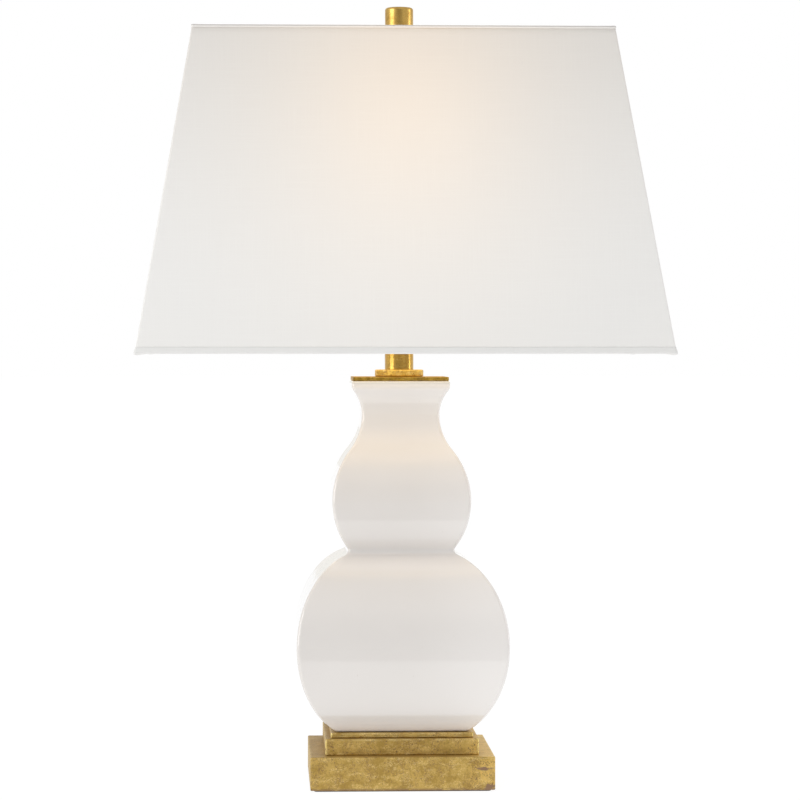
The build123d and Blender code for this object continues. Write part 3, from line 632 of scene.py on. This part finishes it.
# %% [markdown]
# ## Brass, steel and the other fittings
# The brass differs by how it was worked: the finial is turned and lacquered, the harp is plated wire, the
# socket is spun sheet. One function makes all three from a colour, a roughness and how many lathe lines
# and stains it has. The stains are slightly darker and rougher, as handled brass is.

# %% Brass finishes


def brass(name, bright, stained, rough, lines, line_depth):
    tree, shader = finish(name, Metallic=1.0)
    tone = place_group(tree, drift, Scale=90.0)
    rings = place_group(tree, lathe_lines, Lines=lines)["Lines"]
    rubbed = place_group(tree, rubbed_edges, Width=0.0006, Breakup=500.0)["Rubbed"]
    handled = times(tree, tone["Broad"], span(tree, tone["Fine"], 0.8, 1.2))
    stain = between(tree, handled, 0.42, 0.66)
    colour = blend(tree, stain, bright, stained)
    dulled = times(tree, rings, span(tree, stain, 0.8, 1.3))
    feed(
        shader,
        Base_Color=blend(tree, rubbed, colour, rgb(0.95, 0.80, 0.46)),
        Roughness=span(tree, dulled, rough * 0.55, rough * 1.5),
        Normal=raised(tree, rings, 0.35, line_depth),
    )


brass("polished_brass", rgb(0.70, 0.455, 0.125), rgb(0.56, 0.335, 0.08), 0.3, 3200.0, 0.00003)
brass("harp_brass", rgb(0.70, 0.48, 0.17), rgb(0.52, 0.33, 0.11), 0.3, 900.0, 0.00002)
brass("socket_brass", rgb(0.74, 0.50, 0.16), rgb(0.50, 0.30, 0.09), 0.26, 2200.0, 0.00003)
print("finishes: turned, wire and spun brass")

# %% [markdown]
# Zinc plating and solder freeze in small crystals that reflect a little differently, called spangle. Voronoi
# cells have just that look, and mixed with noise they serve for all the pale metal of the fittings.

# %% Plated steel, rolled metal and solder


def pale_metal(name, light, dark, rough, scale):
    tree, shader = finish(name, Metallic=1.0)
    place = here(tree)
    tone = place_group(tree, drift, Scale=scale)
    spangle = add(tree, "TexVoronoi", {"Vector": place, "Scale": scale * 5}).outputs["Color"]
    grain = blend(tree, 0.3, spangle, tone["Fine"])
    feed(
        shader,
        Base_Color=blend(tree, grain, dark, light),
        Roughness=span(tree, tone["Fine"], rough * 0.7, rough * 1.4),
        Normal=raised(tree, tone["Fine"], 0.3, 0.00003),
    )


pale_metal("zinc_steel", rgb(0.70, 0.70, 0.68), rgb(0.45, 0.45, 0.46), 0.34, 160.0)
pale_metal("screw_shell_metal", rgb(0.80, 0.79, 0.77), rgb(0.62, 0.61, 0.60), 0.26, 120.0)
pale_metal("solder", rgb(0.66, 0.66, 0.64), rgb(0.40, 0.40, 0.41), 0.42, 420.0)
print("finishes: zinc, rolled sheet, solder")

# %% [markdown]
# The small hidden pieces are moulded plastic, pressed card, rubber, painted wire and the glass bead round the
# bulb's contact. Each is one dull colour that wears paler along its edges, so a table of values is enough.

# %% Moulded, pressed and rubbery pieces


def moulded(name, base, worn, rough, scale, depth):
    tree, shader = finish(name)
    tone = place_group(tree, drift, Scale=scale)
    rubbed = place_group(tree, rubbed_edges, Width=0.0007, Breakup=600.0)["Rubbed"]
    mottled = blend(tree, times(tree, tone["Broad"], 0.3), base, worn)
    feed(
        shader,
        Base_Color=blend(tree, times(tree, rubbed, 0.7), mottled, worn),
        Roughness=span(tree, tone["Fine"], rough * 0.8, rough * 1.2),
        Normal=raised(tree, tone["Fine"], 0.4, depth),
    )


moulded("bushing_plastic", rgb(0.085, 0.052, 0.030), rgb(0.17, 0.115, 0.075), 0.45, 260.0, 0.00006)
moulded("black_phenolic", rgb(0.016, 0.015, 0.014), rgb(0.07, 0.065, 0.06), 0.28, 220.0, 0.00003)
moulded("rubber", rgb(0.042, 0.030, 0.018), rgb(0.10, 0.075, 0.05), 0.72, 380.0, 0.00008)
moulded("insulating_card", rgb(0.15, 0.115, 0.085), rgb(0.28, 0.225, 0.17), 0.85, 500.0, 0.0001)
moulded("frame_wire", rgb(0.78, 0.77, 0.74), rgb(0.66, 0.64, 0.60), 0.38, 300.0, 0.00004)
moulded("black_glass", rgb(0.012, 0.012, 0.014), rgb(0.03, 0.03, 0.034), 0.12, 300.0, 0.00001)
print("finishes: mouldings, rubber, card, painted wire, black glass")

# %% [markdown]
# Felt is wool pressed flat, with fibres that cross every way. Hair particles would show each fibre, at a cost
# that the underside of a lamp doesn't deserve. Two noises drawn out across each other look much the same.

# %% Felt


def felt():
    tree, shader = finish("felt", Sheen_Weight=0.2, Sheen_Roughness=0.5, Sheen_Tint=rgb(0.6, 0.45, 0.32))
    place = here(tree)
    tone = place_group(tree, drift, Scale=180.0)
    one_way = clouds(tree, stretched(tree, place, (300, 3000, 800)), 1.0, 4.0, 0.7, 1.5)
    other_way = clouds(tree, stretched(tree, place, (3000, 300, 800)), 1.0, 4.0, 0.7, 1.5)
    fibres = calc(tree, "MAXIMUM", one_way, other_way)
    feed(
        shader,
        Base_Color=blend(tree, fibres, rgb(0.028, 0.022, 0.018), rgb(0.14, 0.115, 0.095)),
        Roughness=span(tree, tone["Fine"], 0.85, 1.0),
        Normal=raised(tree, fibres, 0.8, 0.0003),
    )


felt()
print("finish: felt")

# %% [markdown]
# ## The lit bulb
# The bulb is frosted inside, and it is on. Emission on the glass makes it a light source of its own, for the
# inside of the shade and the socket. At its real strength it would be a white blot without a shape, so it
# glows about as bright as the lit linen. The rest of its light, which leaves the shade downwards and warms
# the shoulder of the gourd, comes from soft lamps in the shade's lower opening. They are round, so that they
# stay inside however the shade is turned. Only one of the two is mirrored: the hazy opening of a real shade
# is a faint reflection in the glaze, and the disc of a single lamp would be a bright one. They lie a few
# millimetres apart, because a ray that meets two lamps in one place counts only one of them.

# %% Frosted bulb
BULB_LIGHT = 0.55
DOWN_LIGHT = 0.165
DOWN_COLOUR = (1.0, 0.815, 0.57)
MIRRORED_LIGHT = 0.5
OPENING_SHARE = 0.9


def frosted_bulb():
    tree, shader = finish("frosted_glass", Coat_Weight=0.6, Coat_Roughness=0.05, Emission_Strength=BULB_LIGHT)
    tone = place_group(tree, drift, Scale=70.0)
    low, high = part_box("bulb_glass")
    level = axes(tree, here(tree))["Z"]
    heated = between(tree, level, low.z, high.z - (high.x - low.x) / 2)
    glow = blend(tree, tone["Broad"], rgb(1.0, 0.76, 0.48), rgb(1.0, 0.82, 0.57))
    feed(
        shader,
        Base_Color=blend(tree, tone["Fine"], rgb(0.52, 0.50, 0.46), rgb(0.60, 0.58, 0.54)),
        Roughness=span(tree, tone["Fine"], 0.35, 0.6),
        Emission_Color=blend(tree, heated, rgb(0.5, 0.30, 0.12), glow),
        Normal=raised(tree, tone["Fine"], 0.2, 0.00005),
    )


def down_lamp(name, share, rise, mirrored):
    low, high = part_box("shade_bottom_wire")
    lamp = area_lamp(name, "DISK", DOWN_LIGHT * share, (0, 0, high.z + rise), (0, 0, 0))
    lamp.data.size = (high.y - low.y) * OPENING_SHARE
    lamp.data.color = DOWN_COLOUR
    lamp.visible_camera = False
    lamp.visible_glossy = mirrored


frosted_bulb()
down_lamp("down_light", MIRRORED_LIGHT, 12 * MM, True)
down_lamp("down_fill", 1 - MIRRORED_LIGHT, 16 * MM, False)
print("finish: frosted bulb, emission", BULB_LIGHT)

# %% [markdown]
# ## Linen
# The cover is a fine plain weave: each warp thread passes over one weft thread and under the next. The
# weave group draws it from two sine waves, a half turn apart at every crossing, plus slubs, the thicker
# stretches that linen yarn has. It measures along the wall whichever way the wall faces, by the normal, so
# it needs no UV map.

# %% Weave group


def weave_group():
    """Height and tone of a plain weave; Pitch is the distance between threads, in metres."""
    tree, given, out = group("plain_weave", {"Pitch": 0.0006}, {"Height": "Float", "Tone": "Float"})
    place = axes(tree, here(tree))
    facing = axes(tree, here(tree, "Normal"))
    turned = calc(tree, "ABSOLUTE", facing["X"])
    sideways = calc(tree, "GREATER_THAN", turned, calc(tree, "ABSOLUTE", facing["Y"]))
    along = mix(tree, sideways, place["X"], place["Y"])
    frequency = calc(tree, "DIVIDE", math.pi, given["Pitch"])
    warp = calc(tree, "SINE", times(tree, along, frequency))
    weft = calc(tree, "SINE", times(tree, place["Z"], frequency))
    over = between(tree, times(tree, warp, weft), -0.3, 0.3)
    threads = calc(tree, "MAXIMUM", calc(tree, "ABSOLUTE", warp), calc(tree, "ABSOLUTE", weft))

    def yarn(per_metre_along, per_metre_up):
        """Noise drawn out along one set of threads."""
        wall = {"X": times(tree, along, per_metre_along)}
        wall["Z"] = times(tree, place["Z"], per_metre_up)
        return clouds(tree, add(tree, "CombineXYZ", wall).outputs[0], 1.0, 2.0)

    slubs = calc(tree, "MAXIMUM", yarn(18.0, 900.0), yarn(900.0, 18.0))
    crossings = times(tree, threads, span(tree, over, 0.7, 1.0))
    height = calc(tree, "ADD", crossings, times(tree, slubs, 0.5))
    feed(out, Height=height, Tone=times(tree, slubs, span(tree, threads, 0.75, 1.0)))
    return tree


plain_weave = weave_group()
print("group:", plain_weave.name)

# %% [markdown]
# With the bulb on, light comes through the linen. Tracing that through cloth and backing is slow and
# noisy, so the linen glows by itself. The glow falls off with the cube of the distance from the bulb, as
# light on a flat wall does, and a faint neutral glow from below stands for the daylight inside the shade.
# The hems are folded over the frame wire, which stops most of the light, so the same linen is darker there.
# The narrow one at the top is also painted darker along the wire, as painted shade, except where it faces up.
# The cover's own colour is painted darker towards the top of the shade, as painted shade.

# %% Linen, lit and unlit
GLOW_CENTRE = (0.0, 0.0, 0.556)
GLOW_FLATTENING = (0.88, 1.0, 0.72)
BULB_GLOW = rgb(0.203, 0.104, 0.009)
NEAREST_WALL = 119 * MM
UNSEEN_GLOW = 0.12
THREAD_PITCH = 0.55 * MM


def warm_glow(tree):
    """Share of the bulb's light that is seen through a wall: most on the nearest one, less further away."""
    offset = add(tree, "VectorMath", {0: here(tree), 1: GLOW_CENTRE}, operation="SUBTRACT").outputs[0]
    spread = stretched(tree, offset, GLOW_FLATTENING)
    distance = add(tree, "VectorMath", {0: spread}, operation="LENGTH").outputs["Value"]
    share = calc(tree, "POWER", calc(tree, "DIVIDE", NEAREST_WALL, distance), 3.0)
    return add(tree, "Math", {0: share, 1: UNSEEN_GLOW}, operation="SUBTRACT", use_clamp=True).outputs[0]


def linen(name, pale, deep):
    tree, shader = finish(
        name, Sheen_Weight=0.15, Sheen_Roughness=0.4, Specular_IOR_Level=0.25, Emission_Strength=1.0
    )
    weave = place_group(tree, plain_weave, Pitch=THREAD_PITCH)
    tone = place_group(tree, drift, Scale=14.0)
    threads = times(tree, weave["Tone"], span(tree, tone["Broad"], 0.85, 1.15))
    feed(
        shader,
        Base_Color=blend(tree, between(tree, threads, 0.3, 0.75), deep, pale),
        Roughness=span(tree, tone["Fine"], 0.75, 0.95),
        Normal=raised(tree, weave["Height"], 0.25, 0.00012),
    )
    return tree, shader


def tint_cloth(tree, shader, tint):
    """Multiplies the woven colour by a tint that changes over the cloth."""
    woven = shader.inputs["Base Color"].links[0].from_socket
    feed(shader, Base_Color=blend(tree, 1.0, woven, tint, "MULTIPLY"))


def lit_linen():
    tree, shader = linen("shade_fabric", rgb(0.79, 0.775, 0.75), rgb(0.775, 0.757, 0.733))
    level = axes(tree, here(tree))["Z"]
    low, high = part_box("shade_cover")
    depth = calc(tree, "DIVIDE", calc(tree, "SUBTRACT", high.z, level), high.z - low.z)
    below = calc(tree, "POWER", between(tree, depth, 0.0, 0.85), 0.55)
    # Painted shade: the cloth's colour is darker towards the top of the shade.
    tint_cloth(tree, shader, blend(tree, below, rgb(0.887, 0.879, 0.869), WHITE))
    daylight = blend(tree, below, BLACK, rgb(0.04, 0.046, 0.05))
    bulb = blend(tree, warm_glow(tree), BLACK, BULB_GLOW)
    feed(shader, Emission_Color=blend(tree, 1.0, daylight, bulb, "ADD"))


def bottom_hem_linen():
    shader = linen("bottom_hem", rgb(0.755, 0.75, 0.735), rgb(0.735, 0.73, 0.715))[1]
    shader.inputs["Emission Color"].default_value = rgb(0.025, 0.026, 0.026)


def top_hem_linen():
    tree, shader = linen("top_hem", rgb(0.77, 0.752, 0.728), rgb(0.74, 0.722, 0.70))
    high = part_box("shade_top_hem")[1]
    level = axes(tree, here(tree))["Z"]
    upward = axes(tree, here(tree, "Normal"))["Z"]
    # Painted shade: the hem's own colour is darker along the wire on its sides, and stays pale where it faces
    # up.
    sides = between(tree, upward, 0.9, 0.5)
    shaded = times(tree, sides, between(tree, level, high.z - 2 * MM, high.z - MM))
    tint_cloth(tree, shader, blend(tree, shaded, WHITE, rgb(0.62, 0.615, 0.61)))
    bulb = blend(tree, warm_glow(tree), BLACK, BULB_GLOW)
    feed(shader, Emission_Color=blend(tree, shaded, bulb, BLACK))


lit_linen()
bottom_hem_linen()
top_hem_linen()
print("finishes: lit linen, hem linen, threads", THREAD_PITCH / MM, "mm apart")

# %% [markdown]
# Behind the linen is a stiff plastic sheet, seen from below and from above. It is lit by the same bulb, so it
# uses the same falling glow, and keeps a satin gloss that the cloth doesn't have.

# %% Shade backing


def shade_backing():
    tree, shader = finish("shade_backing", Emission_Strength=1.0)
    tone = place_group(tree, drift, Scale=40.0)
    warmth = warm_glow(tree)
    feed(
        shader,
        Base_Color=blend(tree, tone["Broad"], rgb(0.80, 0.785, 0.76), rgb(0.83, 0.82, 0.80)),
        Roughness=span(tree, tone["Fine"], 0.42, 0.58),
        Emission_Color=blend(tree, warmth, rgb(0.13, 0.10, 0.064), rgb(0.36, 0.27, 0.16)),
        Normal=raised(tree, tone["Fine"], 0.15, 0.00006),
    )


shade_backing()
print("finish: shade backing")

# %% [markdown]
# ## Finishes onto the CAD pieces
# Each CAD piece arrives with a plain material named after its slot in the record. Swapping that material
# for the finish of the same name dresses all of them in one loop. Three gilt pieces have finishes of their
# own: the plate is darker than the collar that stands on it, and the stem and its cap are also smoother.

# %% Dress the CAD pieces
OWN_FINISH = {"gourd_plate": "plate_gilt", "stem_tube": "stem_gilt", "stem_cap": "stem_gilt"}
dressed = {}
for name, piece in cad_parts.items():
    for slot in piece.material_slots:
        chosen = OWN_FINISH.get(name, slot.material.name)
        dressed.setdefault(chosen, []).append(name)
        slot.material = finishes[chosen]
for chosen, names in sorted(dressed.items()):
    print(f"{chosen}: {len(names)} pieces")

# %% [markdown]
# ## Cloth round a tapered box
# The cover and its two hems all run round the same tapered rectangle with soft corners. One helper gives
# the points round a rectangle, and a second one those round the shade at any level and distance from the
# outside. There they crowd towards the corners, where the cloth bends, so the mesh is fine only where it
# has to be.

# %% Rings round the shade
SIDE_STEPS = 26
CORNER_STEPS = 7
COVER_CORNER = 1.6 * MM
TIGHTEST_CORNER = 0.6 * MM

shade_low, shade_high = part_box("shade_cover")
shade_height = shade_high.z - shade_low.z
cover_points = [vertex.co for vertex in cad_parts["shade_cover"].data.vertices]
top_points = [point for point in cover_points if point.z > shade_high.z - MM]
bottom_half = Vector((shade_high.x, shade_high.y))
top_half = Vector((max(p.x for p in top_points), max(p.y for p in top_points)))
lean = (bottom_half - top_half) / shade_height


def evenly(share):
    return 2 * share - 1


def crowded(share):
    """From -1 to 1, in steps that shorten towards both ends."""
    return -math.cos(math.pi * share)


def rounded_ring(half, radius, spacing):
    """The x and y of points round a rectangle, each with its distance from the nearest corner."""
    ring = []
    for turn in range(4):
        reach, out = half if turn % 2 == 0 else reversed(half)
        straight = reach - radius
        side = [straight * spacing(step / SIDE_STEPS) for step in range(SIDE_STEPS)]
        points = [(x, -out, reach - abs(x)) for x in side]
        for step in range(CORNER_STEPS):
            angle = math.pi / 2 * step / CORNER_STEPS
            x, y = straight + radius * math.sin(angle), radius - out - radius * math.cos(angle)
            points.append((x, y, radius * abs(angle - math.pi / 4)))
        for _ in range(turn):
            points = [(-y, x, distance) for x, y, distance in points]
        ring += points
    return ring


def shade_ring(level, inset):
    """Points round the shade at a level, each with its distance from the nearest corner."""
    half = bottom_half - lean * (level - shade_low.z) - Vector((inset, inset))
    ring = rounded_ring(tuple(half), max(COVER_CORNER - inset, TIGHTEST_CORNER), crowded)
    return [(Vector((x, y, level)), distance) for x, y, distance in ring]


def ring_mesh(name, rings, ends=()):
    """New piece with its surface through rings of points, and with any faces that close its ends."""
    faces, count = list(ends), len(rings[0])
    for row in range(len(rings) - 1):
        for step in range(count):
            this, after = row * count + step, row * count + (step + 1) % count
            faces.append((this, after, after + count, this + count))
    mesh = bpy.data.meshes.new(name)
    mesh.from_pydata([point for ring in rings for point in ring], [], faces)
    return show(name, mesh)


def thickened(piece, thickness, even):
    """Makes a piece a smooth sheet, thickened on its inner side."""
    piece.data.shade_smooth()
    solid = piece.modifiers.new("thickness", "SOLIDIFY")
    solid.thickness = thickness
    solid.offset = -1.0
    solid.use_even_offset = even
    return piece


def dress(piece, body, finish_name, slot_name, *nodes):
    """Gives a new piece its finish and its body, and hides the CAD nodes that it stands for."""
    piece.data.materials.append(finishes[finish_name])
    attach(piece, body)
    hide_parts(*nodes)


print("shade, mm:", [round(x / MM, 1) for x in (*bottom_half * 2, *top_half * 2, shade_height)])

# %% [markdown]
# ## The linen cover
# The linen is glued to four stiff panels, so it is almost flat. What gives it away as cloth are its soft
# corners and a slight unevenness where the glue took hold, a quarter of a millimetre at most. Simulated
# cloth would end in the same shape, so the unevenness is a smooth noise instead.

# %% Cover
COVER_ROWS = 34
COVER_THICKNESS = 0.5 * MM
UNEVENNESS = 0.22 * MM
UNEVEN_PATCHES = 11.0
CORNER_HOLD = 40 * MM


def linen_cover():
    rings = []
    for row in range(COVER_ROWS + 1):
        level = shade_low.z + shade_height * row / COVER_ROWS
        ring = []
        for point, distance in shade_ring(level, UNEVENNESS):
            held = min(1.0, distance / CORNER_HOLD)
            outward = Vector((point.x, point.y, 0)).normalized()
            ring.append(point + outward * noise.noise(point * UNEVEN_PATCHES) * UNEVENNESS * held)
        rings.append(ring)
    return thickened(ring_mesh("linen_cover", rings), COVER_THICKNESS, even=True)


cover = linen_cover()
dress(cover, "shade", "shade_fabric", "shade_fabric", "shade_cover")
print("cover:", len(cover.data.polygons), "faces")

# %% [markdown]
# ## The rolled hems
# Each edge of the shade is bound with a strip of the same linen. It lies on the cover for a few
# millimetres, rolls round the frame wire and is glued to the inside. The section below is that path:
# straight down the outside, half an ellipse round the edge, and an easy curve back to the panel. At each
# corner the strip is tucked, and the tuck stands out as a small soft lump.

# %% Hems
HEM_CLOTH = 0.45 * MM
HEM_START = 0.1 * MM
HEM_PROUD = 0.5 * MM
ROLL_DEPTH = 5.9 * MM
ROLL_START = 0.6 * MM
INSIDE_REACH = 8.5 * MM
INSIDE_REST = 2.4 * MM
ROLL_STEPS = 10
RUN_STEPS = 6
SETTLE_START = 1.5 * MM
SETTLE_RUN = 5.5 * MM
TUCK_SPREAD = 3.6 * MM
TUCK_PROUD = 0.35
SLACK = 0.1 * MM
SLACK_PATCHES = 70.0


def ease(share):
    share = min(1.0, max(0.0, share))
    return share * share * (3 - 2 * share)


def hem_section(height, drop):
    """Path of the strip as (inset from the cover's outside, distance into the shade from its edge)."""
    path = []
    for step in range(RUN_STEPS):
        share = step / RUN_STEPS
        proud = HEM_START + (HEM_PROUD - HEM_START) * ease(share * 1.2)
        path.append((-proud, height + (ROLL_START - height) * share))
    middle, reach = (ROLL_DEPTH - HEM_PROUD) / 2, (ROLL_DEPTH + HEM_PROUD) / 2
    for step in range(ROLL_STEPS + 1):
        angle = math.pi * step / ROLL_STEPS
        path.append((middle - reach * math.cos(angle), ROLL_START - (ROLL_START + drop) * math.sin(angle)))
    for step in range(1, RUN_STEPS + 1):
        depth = ROLL_START + (INSIDE_REACH - ROLL_START) * step / RUN_STEPS
        settled = ease((depth - SETTLE_START) / SETTLE_RUN)
        path.append((ROLL_DEPTH + (INSIDE_REST - ROLL_DEPTH) * settled, depth))
    return path


def rolled_hem(name, edge, direction, height, drop, tuck):
    """Strip round an edge of the shade; direction is 1 where the shade is above the edge and -1 below."""
    rings = []
    for inset, depth in hem_section(height, drop):
        ring = []
        for point, distance in shade_ring(edge + direction * depth, inset):
            lump = math.exp(-((distance / TUCK_SPREAD) ** 2)) * ease(1 - depth / height)
            outward = Vector((point.x, point.y, 0)).normalized()
            slack = noise.noise(Vector((point.x, point.y, depth)) * SLACK_PATCHES) * SLACK
            sagged = Vector((0, 0, direction * tuck * lump))
            ring.append(point + outward * (slack + lump * tuck * TUCK_PROUD) - sagged)
        rings.append(ring)
    if direction > 0:
        rings.reverse()
    return thickened(ring_mesh(name, rings), HEM_CLOTH, even=True)


bottom_hem_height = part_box("shade_bottom_hem")[1].z - shade_low.z
top_hem_height = shade_high.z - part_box("shade_top_hem")[0].z
bottom_hem = rolled_hem("bottom_hem", shade_low.z, 1, bottom_hem_height, drop=0.6 * MM, tuck=1.0 * MM)
top_hem = rolled_hem("top_hem", shade_high.z, -1, top_hem_height, drop=0.3 * MM, tuck=0.2 * MM)
dress(bottom_hem, "shade", "bottom_hem", "shade_fabric", "shade_bottom_hem")
dress(top_hem, "shade", "top_hem", "shade_fabric", "shade_top_hem")

# %% [markdown]
# ## Felt under the base
# A felt square is glued under the plinth, to spare the table and to close the pocket with the nut in it.
# Cut felt has a soft, slightly furry edge, so the outline wavers a little and its rim is rounded.

# %% Felt pad
FELT_CORNER = 2.5 * MM
FELT_WAVER = 0.25 * MM
WAVER_PATCHES = 140.0
RIM_PROFILE = ((0.6, 0.0), (0.15, 0.2), (0.0, 0.55), (0.25, 1.0))  # inset in mm, share of the thickness


def felt_sheet():
    low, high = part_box("felt_pad")
    half, thickness = high.x - FELT_WAVER, high.z - low.z
    rings = []
    for inset, rise in RIM_PROFILE:
        ring = []
        for x, y, _ in rounded_ring((half, half), FELT_CORNER, evenly):
            waver = noise.noise(Vector((x, y, 0)) * WAVER_PATCHES) * FELT_WAVER
            shrink = 1 - (inset * MM - waver) / half
            ring.append((x * shrink, y * shrink, low.z + rise * thickness))
        rings.append(ring)
    count = len(ring)
    top = range((len(rings) - 1) * count, len(rings) * count)
    return ring_mesh("felt_sheet", rings, [tuple(reversed(range(count))), tuple(top)])


felt_piece = felt_sheet()
dress(felt_piece, "lamp_body", "felt", "felt", "felt_pad")

# %% [markdown]
# ## Thread on the bulb's cap
# The cap is rolled from thin sheet, so its thread is a rounded wave, inside and out. A lathe shape has no
# thread, and a screw modifier would need its ends cleaned up. Here each point's radius simply follows a
# wave that climbs one pitch per turn and fades out before the rim and the cone.

# %% Threaded bulb cap
THREAD_STEP = 3.6 * MM
THREAD_DEPTH = 1.0 * MM
CAP_SEGMENTS = 64
CAP_ROWS = 60
CAP_CONE = 5.0 * MM
CAP_END = 9.0 * MM
CAP_SHEET = 0.5 * MM
CAP_SKIRT = 4.0 * MM


def threaded_cap():
    low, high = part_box("bulb_cap")
    outer, length = high.x, high.z - low.z
    rings = []
    for row in range(CAP_ROWS + 1):
        ring = []
        depth = length * row / CAP_ROWS
        widened = min(1.0, depth / CAP_CONE)
        fade = ease((depth - CAP_CONE) / THREAD_STEP) * ease((length - CAP_SKIRT - depth) / THREAD_STEP)
        for step in range(CAP_SEGMENTS):
            turn = step / CAP_SEGMENTS
            wave = 0.5 - 0.5 * math.cos(2 * math.pi * (depth / THREAD_STEP - turn))
            radius = CAP_END + (outer - CAP_END) * widened - THREAD_DEPTH * wave * fade
            angle = 2 * math.pi * turn
            ring.append((radius * math.cos(angle), radius * math.sin(angle), low.z + depth))
        rings.append(ring)
    end = tuple(reversed(range(CAP_SEGMENTS)))
    return thickened(ring_mesh("threaded_cap", rings, [end]), CAP_SHEET, even=False)


cap = threaded_cap()
dress(cap, "bulb", "screw_shell_metal", "screw_shell_metal", "bulb_cap")
print("bulb cap thread pitch", THREAD_STEP / MM, "mm")
